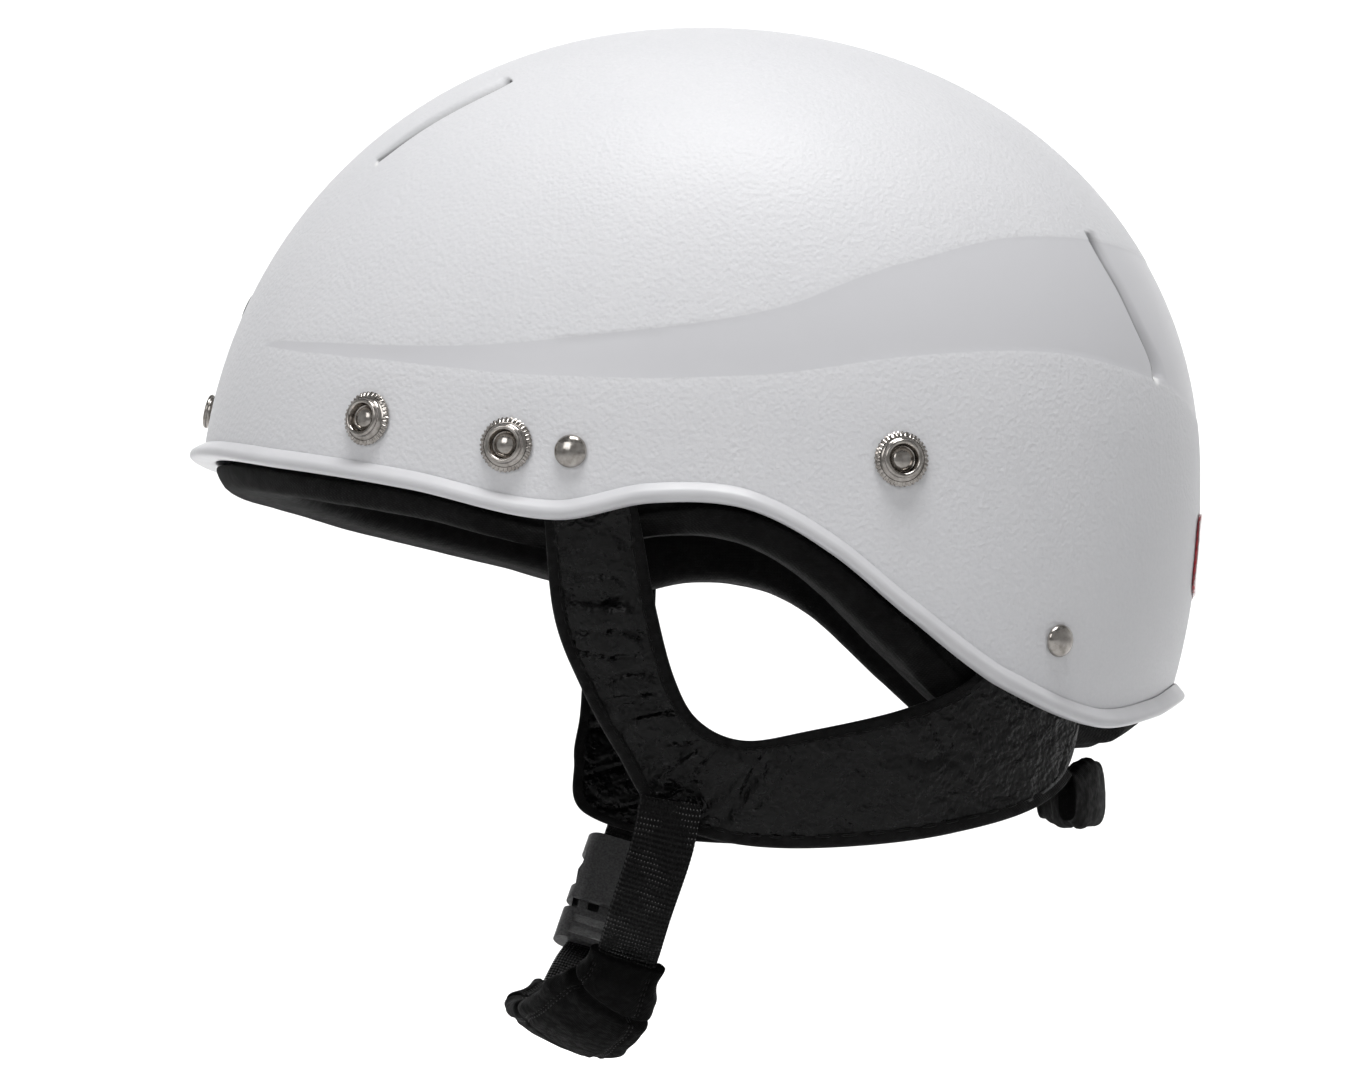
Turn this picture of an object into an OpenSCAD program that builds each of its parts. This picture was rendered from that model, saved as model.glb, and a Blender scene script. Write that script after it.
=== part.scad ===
// Half-shell helmet with a Y harness, a side-release buckle and a chin pad.
// Millimetres, +Z up, front is -X, the wearer's left is -Y.
// The origin is the middle of the head opening, at the height of the brow.

/* [Shell] */
// Length of the shell, front to rear
shell_l = 272; // [266:1:280]
// Width of the shell over the ears
shell_w = 222; // [214:1:230]
// Height of the crown above the origin
crown_h = 127.4; // [124:0.2:131]
// Wall thickness of the moulded shell
shell_t = 3; // [2.6:0.1:3.2]

/* [Liner] */
// Gap between shell and liner, where the harness ends lie
liner_gap = 6; // [6:0.5:7]
// Thickness of the impact liner
liner_t = 19; // [16:1:22]
// Thickness of the comfort pads
pad_t = 8; // [6:0.5:9]
// How far the edge band hangs below the rim
band_drop = 9; // [8:0.5:10]

/* [Visor studs] */
// Diameter of the knurled flange
stud_flange_d = 13.7; // [13.4:0.1:14]
// Diameter of the post that the visor snaps on
stud_post_d = 9.6; // [9.2:0.1:9.8]
// Height of the post above the flange seat
stud_h = 3.4; // [3.2:0.1:3.6]
// Diameter of the dish in the post
stud_dish_d = 6.6; // [6.2:0.1:6.8]

/* [Harness] */
// Diameter of the domed head of the harness rivets
rivet_head_d = 8.2; // [7.6:0.1:8.6]
// Thickness of the padded yoke
yoke_t = 6; // [5:0.5:7]
// How fast the yokes lean in below the rim
yoke_lean = 0.3; // [0.28:0.01:0.32]
// Width of the binding along the yoke edges
binding_w = 4; // [3:0.5:4.5]
// Width of the webbing
web_w = 16; // [15:0.5:16.5]
// Thickness of the webbing
web_t = 1.8; // [1.6:0.1:2]

/* [Buckle] */
// Width of the side-release buckle
buckle_w = 24; // [23.8:0.1:24.4]
// Thickness of the buckle socket
buckle_t = 9; // [8.8:0.1:9.4]

/* [Chin pad] */
// Width of the chin pad sleeve
chin_w = 31; // [29:1:33]
// Thickness of the chin pad sleeve
chin_t = 9; // [8.5:0.5:10]

/* [Hidden] */
$fn = 48;

// ---- outer surface -------------------------------------------------------
crown_x = 2;                          // the crown, and the middle of the shell's length
half_len = shell_l / 2;
front_z = -10;                        // the front profile is widest at this height
rear_z = 6.5;                         // the rear and the sides are widest at this height
rear_up = crown_h - rear_z;
rear_down = 162;                      // slower lean below the widest height
side_down = 230;
profile_n = 2.09;                     // superellipse exponents of the front and rear profile
side_n = 2.25;                        // and of the cross-section
plan_n = 2.15;                        // superellipse exponent of the plan
plan_shift = 14;                      // the widest place lies behind the crown

function superell(t, n) = t >= 1 ? 0 : pow(1 - pow(max(t, 0), n), 1 / n);
function front_x(z) = crown_x - half_len * superell(abs(z - front_z) / (crown_h - front_z), profile_n);
function rear_x(z) = crown_x + half_len * superell(abs(z - rear_z) / (z > rear_z ? rear_up : rear_down), profile_n);
function half_w(z) = shell_w / 2 * superell(abs(z - rear_z) / (z > rear_z ? rear_up : side_down), side_n);
function mid_x(z) = crown_x + plan_shift * (1 - pow(max(z, 0) / crown_h, 2));
function power(v, e) = sign(v) * pow(abs(v), e);

// A point of the outer surface at an azimuth (0 rear, 180 front) and a height
function skin(th, z) = let (m = mid_x(z), len_x = cos(th) < 0 ? m - front_x(z) : rear_x(z) - m)
    [m + len_x * power(cos(th), 2 / plan_n), half_w(z) * power(sin(th), 2 / plan_n), z];

// Half-width of the outer surface at a place in the side view
function skin_y(x, z) = let (m = mid_x(z), len_x = x < m ? m - front_x(z) : rear_x(z) - m)
    half_w(z) * superell(abs(x - m) / len_x, plan_n);

// Catmull-Rom curve through a list of points
function spline(p, u) = let (n = len(p) - 1, i = min(floor(u), n - 1), f = u - i,
    a = p[max(i - 1, 0)], b = p[i], c = p[i + 1], d = p[min(i + 2, n)])
    b + f * 0.5 * ((c - a) + f * ((2 * a - 5 * b + 4 * c - d) + f * (3 * b - a - 3 * c + d)));

// Height of the rim along the side view
RIM = [[-136, 11.4], [-102, 4.1], [-66, -3.5], [-30, -12], [-5, -8.3], [18, -9.8], [38, -20],
    [60, -37.5], [80, -52.5], [104, -61.8], [122, -58.6], [136, -50.5]];
function rim_seg(x, i = 0) = i >= len(RIM) - 2 || x < RIM[i + 1][0] ? i : rim_seg(x, i + 1);
function rim_z(x) = let (i = rim_seg(x), u = (x - RIM[i][0]) / (RIM[i + 1][0] - RIM[i][0]))
    spline(RIM, i + min(max(u, 0), 1))[1];
function rim_at(th) = rim_z(skin(th, rim_z(skin(th, 0)[0]))[0]);

// The surface by azimuth and a fall from 0 at the crown to 1 at the rim
mean_fall = crown_h + 20;
function fall_z(th, f) = let (m = f * f)
    crown_h - (mean_fall * (1 - m) + (crown_h - rim_at(th)) * m) * (1 - cos(90 * f));
function unit(v) = v / norm(v);
function dome(th, f) = skin(th, fall_z(th, f));
function dome_n(th, f) = let (e = 0.004, g = max(f, 0.02))
    unit(cross(dome(th + 0.4, g) - dome(th - 0.4, g), dome(th, g - e) - dome(th, g + e)));
function inside(th, f, d) = dome(th, f) - d * dome_n(th, f);

// ---- building blocks -----------------------------------------------------
// A closed solid through rings of equal length
module loft(rings, loop = false) {
    n = len(rings);
    k = len(rings[0]);
    sides = [for (i = [0 : n - (loop ? 1 : 2)], j = [0 : k - 1])
        let (a = i * k + j, b = i * k + (j + 1) % k, d = (i + 1) % n * k + j, c = (i + 1) % n * k + (j + 1) % k)
        each [[a, c, b], [a, d, c]]];
    ends = loop ? [] : [[for (j = [0 : k - 1]) j], [for (j = [k - 1 : -1 : 0]) (n - 1) * k + j]];
    polyhedron([for (r = rings) each r], concat(sides, ends), convexity = 10);
}

// A cap of the dome between two depths, down to a fall
module dome_cap(d_out, d_in, fall, cols, rows) {
    function ring(i, d) = [for (j = [0 : cols - 1]) inside(-360 * j / cols, max(fall * i / rows, 0.02), d)];
    loft(concat([for (i = [0 : rows]) ring(i, d_out)], [for (i = [rows : -1 : 0]) ring(i, d_in)]));
}

// A padded patch under the liner, from azimuth a0 to a1 and fall f0 to f1
module pad_patch(a0, a1, f0, f1, d_out, d_in) {
    cols = 10;
    rows = 5;
    function inner(u, v) = d_out + (d_in - d_out) * pow(max(sin(180 * u) * sin(180 * v), 0), 0.3);
    loft([for (i = [0 : cols]) let (u = i / cols, a = a0 + (a1 - a0) * u, s = 0.04 + 0.92 * u)
        concat([for (j = [0 : rows]) inside(a, f0 + (f1 - f0) * j / rows, d_out)],
            [for (j = [rows : -1 : 0]) inside(a, f0 + (f1 - f0) * j / rows, inner(s, 0.04 + 0.92 * j / rows))])]);
}

// A section of [outwards, downwards] points carried round the rim
module rim_sweep(section, cols) {
    function frame(a) = let (p = dome(a, 1), n = dome_n(a, 1), down = unit(dome(a, 1) - dome(a, 0.99)))
        [p, n, down];
    loft([for (i = [0 : cols - 1]) let (a = 360 * i / cols, fr = frame(a))
        [for (q = section(a)) fr[0] + q[0] * fr[1] + q[1] * fr[2]]], loop = true);
}

// A small plaque on the surface, outlined by a superellipse
module plaque(th, z, half_a, half_h, corner_n, t0, t1) {
    k = 32;
    function edge(j, s) = [power(cos(360 * j / k), 2 / corner_n) * half_a * s,
        power(sin(360 * j / k), 2 / corner_n) * half_h * s];
    function lift(q, t) = let (p = skin(th + q[0], z + q[1]),
        n = unit(cross(skin(th + q[0] + 0.3, z + q[1]) - p, skin(th + q[0], z + q[1] + 0.3) - p))) p + t * n;
    loft([for (s = [0.08, 0.4, 0.7, 1]) [for (j = [0 : k - 1]) lift(edge(j, s), t0)],
        [for (j = [0 : k - 1]) lift(edge(j, 1), t0 + 0.6 * (t1 - t0))],
        for (s = [0.95, 0.7, 0.4, 0.08]) [for (j = [0 : k - 1]) lift(edge(j, s), t1)]]);
}

// A band along a path of [x, y, z, tilt] points, tilt being how far its rear edge hangs
module band(path, w, t, steps, from = 0, to = 1, hole_w = 0, hole_t = 0) {
    last = len(path) - 1;
    function at(u) = spline(path, u * last);
    function flat(v) = [v[0], v[1], v[2]];
    function ring(u, bw, bt) = let (p = at(u), tan_v = unit(flat(at(min(u + 0.01, 1)) - at(max(u - 0.01, 0)))),
        wd = [cos(p[3]), 0, -sin(p[3])], side = unit(wd - (wd * tan_v) * tan_v), n = cross(side, tan_v))
        [for (q = [[-0.5, 0], [-0.44, 0.5], [0.44, 0.5], [0.5, 0], [0.44, -0.5], [-0.44, -0.5]])
            flat(p) + q[0] * bw * side + q[1] * bt * n];
    us = [for (i = [0 : steps]) from + (to - from) * i / steps];
    if (hole_w == 0) loft([for (u = us) ring(u, w, t)]);
    else loft(concat([for (u = us) ring(u, w, t)], [for (i = [steps : -1 : 0]) ring(us[i], hole_w, hole_t)]),
        loop = true);
}

// ---- fasteners -----------------------------------------------------------
// Places in the side view: [x, z], and the front stud on the middle line
STUDS = [[-77, 13.2], [-40.7, 5], [56, 0.8]];
front_stud_z = 24.5;
RIVETS = [[-24.6, 3], [95.2, -42.5]];
rivet_r = 2;
bore_r = rivet_r + 0.05;
washer_t = 0.85;

function side_normal(x, z, s) = let (e = 0.2, dx = (skin_y(x + e, z) - skin_y(x - e, z)) / (2 * e),
    dz = (skin_y(x, z + e) - skin_y(x, z - e)) / (2 * e)) unit([-dx, s, -dz]);
function side_spot(q, s) = let (n = side_normal(q[0], q[1], 1))
    [[q[0], s * skin_y(q[0], q[1]), q[1]], [n[0], s * n[1], n[2]]];
function front_spot() = let (z = front_stud_z, e = 0.2, d = (front_x(z + e) - front_x(z - e)) / (2 * e))
    [[front_x(z), 0, z], unit([-1, 0, d])];
STUD_SPOTS = concat([front_spot()], [for (s = [-1, 1], q = STUDS) side_spot(q, s)]);
RIVET_SPOTS = [for (s = [-1, 1], q = RIVETS) side_spot(q, s)];

module at_spots(spots) {
    for (p = spots)
        translate(p[0]) rotate([0, acos(p[1][2]), atan2(p[1][1], p[1][0])]) children();
}

seat = 0.25;                          // the flanges stand this far off the curved shell

module snap_studs() {
    flange_r = stud_flange_d / 2;
    post_r = stud_post_d / 2;
    dish_r = stud_dish_d / 2;
    color("silver") at_spots(STUD_SPOTS) rotate_extrude()
        polygon([[bore_r, seat], [flange_r - 0.4, seat], [flange_r, seat + 0.3], [flange_r - 0.1, seat + 0.7],
            [post_r + 0.3, seat + 1.1], [post_r, seat + 1.2], [post_r, stud_h - 0.4], [post_r - 0.4, stud_h],
            [dish_r + 0.4, stud_h], [dish_r, stud_h - 0.4], [dish_r, seat + 0.9], [bore_r, seat + 0.9]]);
}

module snap_rivets() {
    dish_r = stud_dish_d / 2;
    tail = -shell_t - 2;
    color("gainsboro") at_spots(STUD_SPOTS) rotate_extrude()
        polygon([[0, tail], [rivet_r + 1, tail], [rivet_r + 0.6, tail + 0.7], [rivet_r, tail + 0.7],
            [rivet_r, seat + 0.95], [dish_r - 0.3, seat + 0.95], [dish_r - 0.5, seat + 1.5],
            [dish_r - 1.3, seat + 2], [0, seat + 2.2]]);
}

module snap_washers() {
    top = -shell_t - 0.35;
    color("darkgray") at_spots(STUD_SPOTS) rotate_extrude()
        polygon([[bore_r, top - washer_t], [5, top - washer_t], [5, top], [bore_r, top]]);
}

tab_in = -shell_t - 0.9;              // the harness stack behind the shell, from the shell inwards
tab_t = 0.9;
end_t = 1.5;
end_mid = -tab_in + tab_t + 0.2 + end_t / 2;
washer_top = tab_in - tab_t - end_t - 0.4;

module strap_rivets() {
    head_r = rivet_head_d / 2;
    tail = washer_top - 1.5;
    color("silver") at_spots(RIVET_SPOTS) rotate_extrude()
        polygon(concat([[0, tail], [rivet_r + 1, tail], [rivet_r + 0.7, tail + 0.6], [rivet_r, tail + 0.6],
            [rivet_r, seat], [head_r, seat]],
            [for (a = [15 : 15 : 90]) [head_r * cos(a), seat + 0.3 + (head_r * 0.5) * sin(a)]]));
}

module rivet_washers() {
    color("darkgray") at_spots(RIVET_SPOTS) rotate_extrude()
        polygon([[bore_r, washer_top - washer_t], [5.5, washer_top - washer_t], [5.5, washer_top],
            [bore_r, washer_top]]);
}

module anchor_tabs() {
    color("dimgray") at_spots(RIVET_SPOTS) translate([0, 0, tab_in - tab_t]) difference() {
        hull() for (k = [-1, 1]) translate([0, 3 * k, 0]) cylinder(r = 6, h = tab_t, $fn = 32);
        translate([0, 0, -1]) cylinder(r = bore_r, h = tab_t + 2);
    }
}

// ---- shell and liner -----------------------------------------------------
module outer_shell() {
    color("white") difference() {
        dome_cap(0, shell_t, 1, 72, 18);
        at_spots(concat(STUD_SPOTS, RIVET_SPOTS)) translate([0, 0, -shell_t - 3])
            cylinder(r = bore_r, h = shell_t + 6);
    }
}

// A channel that grips the shell's edge, with a small lip outside
module rim_trim() {
    in = -shell_t - 0.2;
    function section(a) = let (lip = 2.2 + 1.2 * pow(abs(cos(a)), 3)) [[0.2, -2.6], [1, -2.9], [1.4, -1.2],
        [lip, 0.2], [lip - 0.2, 1], [1.2, 1.7], [in + 0.2, 1.7], [in - 0.9, 0.9], [in - 0.9, -4],
        [in, -4], [in, 0.2], [0.2, 0.2]];
    color("whitesmoke") rim_sweep(function (a) section(a), 72);
}

liner_out = shell_t + liner_gap;
liner_in = liner_out + liner_t;
liner_fall = 0.9;

module impact_liner() {
    color("dimgray") dome_cap(liner_out, liner_in, liner_fall, 48, 11);
}

band_up = 10.4;                       // how far the edge band reaches up inside the liner

// 1 where a yoke arm passes the rim, 0 elsewhere
function near_arm(x) = max(1 - pow((x + 22) / 30, 4), 1 - pow((x - 90) / 30, 4), 0);

module liner_edge_band() {
    function section(a) = let (w = near_arm(dome(a, 1)[0]), x = dome(a, 1)[0], o = -shell_t - 0.6 - 6 * w,
        d = band_drop + 3 * min(1, max(0, (x - 5) / 40))) [[o - 1.2, 2.2], [o, 2.6 + w], [o - 1.5 - 2.5 * w, d - 3],
        [o - 4.5 - 2.5 * w, d], [-liner_in + 3.5, d], [-liner_in, d - 2.5], [-liner_in, -band_up],
        [-liner_out, -band_up], [-liner_out, 1]];
    color([0.08, 0.08, 0.09]) rim_sweep(function (a) section(a), 72);
}

pad_out = liner_in + 0.8;
pad_in = pad_out + pad_t;

module crown_pad() {
    color([0.12, 0.12, 0.13]) dome_cap(pad_out, pad_in, 0.34, 32, 4);
}

module comfort_pad(a0, a1, f0, f1) {
    color([0.12, 0.12, 0.13]) pad_patch(a0, a1, f0, f1, pad_out, pad_in);
}

module forehead_pad() { comfort_pad(148, 212, 0.62, 0.86); }
module side_pad_left() { comfort_pad(232, 304, 0.56, 0.84); }
module side_pad_right() { comfort_pad(56, 128, 0.56, 0.84); }
module rear_pad() { comfort_pad(-36, 36, 0.6, 0.86); }

module front_badge() {
    color([0.2, 0.2, 0.22]) plaque(180, 52.7, 5.6, 5.6, 2, 0.1, 1);
}

module rear_reflector() {
    color("firebrick") plaque(0, -16.6, 12, 11.2, 5, 0.12, 0.9);
}

// ---- harness -------------------------------------------------------------
// Edges of the yokes in the side view, from the front rivet down and back to the rear rivet
EAR_LEFT = [[-16, 11], [-9, -9], [-4.5, -34], [0, -52], [6, -62.5], [17, -67.3], [33, -65], [57, -59.5],
    [74, -51.5], [86, -34]];
OUT_LEFT = [[-34, 11], [-32, -9], [-30, -36], [-23.5, -54], [-15, -70], [-3, -87], [24, -94], [68, -90.5],
    [98, -78], [104.5, -48]];
EAR_RIGHT = [[-16, 11], [-15, -9], [-15, -34], [-12, -52], [-4, -61], [11, -67.3], [33, -65], [57, -59.5],
    [74, -51.5], [86, -34]];
OUT_RIGHT = [[-34, 11], [-34, -9], [-36, -36], [-37, -56], [-39, -70], [-35, -86], [0, -94], [62, -92.5],
    [98, -78], [104.5, -48]];
yoke_last = len(EAR_LEFT) - 1;

// Half-width of the yokes' middle: behind the shell above the rim, leaning in below it
function yoke_y(x, z) = let (r = rim_z(x), n = side_normal(x, max(z, r), 1))
    skin_y(x, max(z, r)) - end_mid / n[1] - yoke_lean * max(0, r - z);
function yoke_point(ear, out, s, t, dy, side) = let (q = spline(ear, s) * (1 - t) + spline(out, s) * t)
    [q[0], side * (yoke_y(q[0], q[1]) + dy), q[1]];
// Half the thickness: thin behind the shell, full below the rim
function yoke_half(s) = let (k = min(1, max(0, min(s, yoke_last - s) - 1) / 1.1))
    end_t / 2 + (yoke_t - end_t) / 2 * k * k * (3 - 2 * k);

// A strip of a yoke between the fractions t0 and t1 of its width, from s0 to s1 along it
module yoke_strip(ear, out, side, t0, t1, s0, s1, steps) {
    cols = 4;
    rings = [for (i = [0 : steps]) let (s = s0 + (s1 - s0) * i / steps, h = yoke_half(s))
        concat([for (j = [0 : cols]) let (t = t0(s) + (t1(s) - t0(s)) * j / cols) yoke_point(ear, out, s, t, h, side)],
            [for (j = [cols : -1 : 0]) let (t = t0(s) + (t1(s) - t0(s)) * j / cols)
                yoke_point(ear, out, s, t, -h, side)])];
    loft(side < 0 ? rings : [for (i = [steps : -1 : 0]) rings[i]]);
}

function strip_w(ear, out, s) = norm(spline(ear, s) - spline(out, s));

module yoke(ear, out, side) {
    color([0.1, 0.1, 0.11]) difference() {
        yoke_strip(ear, out, side, function (s) (binding_w + 0.3) / strip_w(ear, out, s),
            function (s) 1 - (binding_w + 0.3) / strip_w(ear, out, s), 0, yoke_last, 36);
        at_spots(RIVET_SPOTS) translate([0, 0, -14]) cylinder(r = bore_r, h = 14);
    }
}

module yoke_binding(ear, out, side) {
    from = 0.9;
    to = yoke_last - 0.9;
    color([0.06, 0.06, 0.06]) {
        yoke_strip(ear, out, side, function (s) 0, function (s) binding_w / strip_w(ear, out, s), from, to, 26);
        yoke_strip(ear, out, side, function (s) 1 - binding_w / strip_w(ear, out, s), function (s) 1, from, to, 26);
    }
}

module yoke_left() { yoke(EAR_LEFT, OUT_LEFT, -1); }
module yoke_right() { yoke(EAR_RIGHT, OUT_RIGHT, 1); }
module yoke_binding_left() { yoke_binding(EAR_LEFT, OUT_LEFT, -1); }
module yoke_binding_right() { yoke_binding(EAR_RIGHT, OUT_RIGHT, 1); }

// The pad behind the neck, from yoke to yoke
module nape_strap() {
    half = 58;
    steps = 16;
    function ring(y) = let (k = y / half, x = 108.5 - 7 * k * k - 3 * pow(k, 4), z = -80 - k * k,
        back = unit([1, 2 * (7 * k + 6 * pow(k, 3)) / half, 0]))
        [for (q = [[-3, -6.5], [-3, 6.5], [-1, 8.5], [1, 8.5], [3, 6.5], [3, -6.5], [1, -8.5], [-1, -8.5]])
            [x, y, z] + q[0] * back + [0, 0, q[1]]];
    color([0.1, 0.1, 0.11]) loft([for (i = [0 : steps]) ring(2 * half * i / steps - half)]);
}

// ---- chin strap ----------------------------------------------------------
// The roots of the strap on the yokes: the loop swings about the line through them
left_root = [-1, -89.5, -82];
right_root = [-19, 90, -84];
buckle_tilt = [-29, 17, 0];           // the buckle's own axis, up the strap
socket_top = -14;                     // places down the buckle's axis from the right root
socket_end = -36;
frame_end = -49;

module on_buckle() {
    translate(right_root) rotate(buckle_tilt) children();
}

// A point down the buckle's axis
function down_buckle(d) = let (b = buckle_tilt[1], a = buckle_tilt[0])
    right_root + d * [cos(a) * sin(b), -sin(a), cos(a) * cos(b)];

// The long webbing runs from the left root through the chin pad to the ladder lock
ladder_in = down_buckle(frame_end + 0.5);
CHIN_PATH = [[left_root[0], left_root[1], left_root[2], 8], [-3.5, -86, -94, 8], [-9, -76, -109, 10],
    [-16, -57, -127, 16], [-26, -34, -138.5, 22], [-34, -10, -143, 25], [-38, 14, -142.5, 25],
    [-37, 38, -137, 20], [-34, 55, -129, 16], [ladder_in[0], ladder_in[1], ladder_in[2], 14]];

module chin_webbing() {
    color([0.1, 0.1, 0.1]) band(CHIN_PATH, web_w, web_t, 44);
}

module chin_pad() {
    color([0.07, 0.07, 0.08]) band(CHIN_PATH, chin_w, chin_t, 18, 0.365, 0.79, web_w + 1.6, web_t + 1.4);
}

module buckle_webbing() {
    sewn = 2;                             // into the yoke
    held = 2.6;                           // into the socket
    color([0.1, 0.1, 0.1]) on_buckle() translate([-web_w / 2, -web_t / 2, socket_top - held])
        cube([web_w, web_t, sewn - socket_top + held]);
}

module rounded_bar(w, t, z0, z1) {
    translate([0, 0, z0]) linear_extrude(z1 - z0) union() {
        square([w - t, t], center = true);
        for (s = [-1, 1]) translate([s * (w - t) / 2, 0]) circle(d = t);
    }
}

cavity_w = buckle_w - 3.6;
cavity_t = buckle_t - 3.4;

module buckle_socket() {
    color([0.22, 0.22, 0.23]) on_buckle() difference() {
        rounded_bar(buckle_w, buckle_t, socket_end, socket_top);
        translate([-cavity_w / 2, -cavity_t / 2, socket_end - 1])
            cube([cavity_w, cavity_t, socket_top - socket_end - 5]);
        for (s = [-1, 1]) translate([s * buckle_w / 2, 0, socket_end + 10]) rotate([90, 0, 0])
            cylinder(r = 5.6, h = cavity_t + 0.4, center = true);
        translate([-web_w / 2 - 0.5, -web_t / 2 - 0.4, socket_top - 3]) cube([web_w + 1, web_t + 0.8, 4]);
    }
}

tongue_t = cavity_t - 1.2;
prong_x = 6.6;                        // the prongs' roots, either side of the middle
prong_root = socket_end - 0.8;

module buckle_plug() {
    rail = 3.4;
    color([0.22, 0.22, 0.23]) on_buckle() {
        difference() {
            rounded_bar(buckle_w, 7.4, frame_end, socket_end - 3);
            for (z = [frame_end + 1.6, frame_end + 5.4]) translate([-buckle_w / 2 + rail, -10, z])
                cube([buckle_w - 2 * rail, 20, 2.4]);
        }
        translate([-2, -tongue_t / 2, socket_end - 3.2]) cube([4, tongue_t, 18]);
    }
}

// One spring prong, drawn on the +x side with its root at the origin
module prong() {
    rotate([90, 0, 0]) translate([0, 0, -tongue_t / 2]) linear_extrude(tongue_t)
        polygon([[-1.3, -1.6], [1.5, -1.6], [2.2, 5], [2.8, 7], [4.6, 7.8], [5, 10.6], [4.2, 13.6],
            [2.2, 15.4], [0, 15.4], [-0.5, 10]]);
}

module buckle_prong_front() {
    color([0.2, 0.2, 0.21]) on_buckle() translate([-prong_x, 0, prong_root]) mirror([1, 0, 0]) prong();
}

module buckle_prong_rear() {
    color([0.2, 0.2, 0.21]) on_buckle() translate([prong_x, 0, prong_root]) prong();
}

outer_shell();
rim_trim();
impact_liner();
liner_edge_band();
crown_pad();
forehead_pad();
side_pad_left();
side_pad_right();
rear_pad();
front_badge();
rear_reflector();
snap_studs();
snap_rivets();
snap_washers();
strap_rivets();
rivet_washers();
anchor_tabs();
yoke_left();
yoke_right();
yoke_binding_left();
yoke_binding_right();
nape_strap();
buckle_webbing();
buckle_socket();
buckle_plug();
buckle_prong_front();
buckle_prong_rear();
chin_webbing();
chin_pad();
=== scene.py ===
"""The looks of the half-shell helmet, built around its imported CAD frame.

Lengths are in millimetres until a mesh is made.
"""
import math

import bpy
import bmesh
import numpy as np
from mathutils import Matrix, Vector, noise


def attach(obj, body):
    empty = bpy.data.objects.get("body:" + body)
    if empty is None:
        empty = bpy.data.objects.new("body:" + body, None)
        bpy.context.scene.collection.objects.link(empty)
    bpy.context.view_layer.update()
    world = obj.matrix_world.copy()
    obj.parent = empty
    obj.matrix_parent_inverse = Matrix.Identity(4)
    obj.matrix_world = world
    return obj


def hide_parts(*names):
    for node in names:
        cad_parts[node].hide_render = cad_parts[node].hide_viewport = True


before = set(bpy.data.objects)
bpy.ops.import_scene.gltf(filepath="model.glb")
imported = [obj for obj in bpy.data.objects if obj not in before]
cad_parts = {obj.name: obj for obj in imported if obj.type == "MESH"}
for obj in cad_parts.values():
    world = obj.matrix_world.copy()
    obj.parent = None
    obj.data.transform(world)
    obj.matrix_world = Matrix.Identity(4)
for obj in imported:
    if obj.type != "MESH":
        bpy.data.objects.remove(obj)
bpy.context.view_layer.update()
MM = 0.001

# ---------------------------------------- camera
CAMERA_AT = (44.7, -1000.0, -84.5)
CAMERA_AIM = (-4.4, 0.0, -10.9)
LENS_MM = 97.9
FLOOR_Z = -240.0


def turned_to(at, aim):
    """The turn that points a camera or a lamp at aim."""
    return (Vector(aim) - Vector(at)).normalized().to_track_quat("-Z", "Y").to_euler()


def make_camera():
    cam = bpy.data.objects.new("camera", bpy.data.cameras.new("camera"))
    bpy.context.scene.collection.objects.link(cam)
    cam.location = Vector(CAMERA_AT) * MM
    cam.rotation_euler = turned_to(CAMERA_AT, CAMERA_AIM)
    cam.data.lens = LENS_MM
    cam.data.sensor_width = 36
    cam.data.clip_start = 0.05
    bpy.context.scene.camera = cam


make_camera()

# ---------------------------------------- the shell's surface, as in the CAD
SHELL_L, SHELL_W, CROWN_H, SHELL_T = 272.0, 222.0, 127.4, 3.0
CROWN_X, FRONT_Z, REAR_Z = 2.0, -10.0, 6.5
REAR_UP, REAR_DOWN, SIDE_DOWN = CROWN_H - REAR_Z, 162.0, 230.0
PROFILE_N, SIDE_N, PLAN_N, PLAN_SHIFT = 2.09, 2.25, 2.15, 14.0
MEAN_FALL = CROWN_H + 20
RIM = np.array([[-136, 11.4], [-102, 4.1], [-66, -3.5], [-30, -12], [-5, -8.3], [18, -9.8], [38, -20],
                [60, -37.5], [80, -52.5], [104, -61.8], [122, -58.6], [136, -50.5]], float)
LINER_OUT, LINER_IN, PAD_T, BAND_DROP = 9.0, 28.0, 8.0, 9.0


def superell(t, n):
    return np.clip(1 - np.clip(t, 0, 1) ** n, 0, 1) ** (1 / n)


def front_x(z):
    return CROWN_X - SHELL_L / 2 * superell(np.abs(z - FRONT_Z) / (CROWN_H - FRONT_Z), PROFILE_N)


def rear_x(z):
    drop = np.where(z > REAR_Z, REAR_UP, REAR_DOWN)
    return CROWN_X + SHELL_L / 2 * superell(np.abs(z - REAR_Z) / drop, PROFILE_N)


def half_w(z):
    drop = np.where(z > REAR_Z, REAR_UP, SIDE_DOWN)
    return SHELL_W / 2 * superell(np.abs(z - REAR_Z) / drop, SIDE_N)


def mid_x(z):
    return CROWN_X + PLAN_SHIFT * (1 - (np.maximum(z, 0) / CROWN_H) ** 2)


def skin(th, z):
    """Points of the outer surface at azimuths (0 rear, 180 front) and heights."""
    th, z = np.broadcast_arrays(np.radians(th), np.asarray(z, float))
    c, s, m = np.cos(th), np.sin(th), mid_x(z)
    reach = np.where(c < 0, m - front_x(z), rear_x(z) - m)
    return np.stack([m + reach * np.sign(c) * np.abs(c) ** (2 / PLAN_N),
                     half_w(z) * np.sign(s) * np.abs(s) ** (2 / PLAN_N), z], -1)


def skin_y(x, z):
    """Half-width of the outer surface at a place in the side view."""
    m = mid_x(z)
    reach = np.where(x < m, m - front_x(z), rear_x(z) - m)
    return half_w(z) * superell(np.abs(x - m) / reach, PLAN_N)


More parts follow.
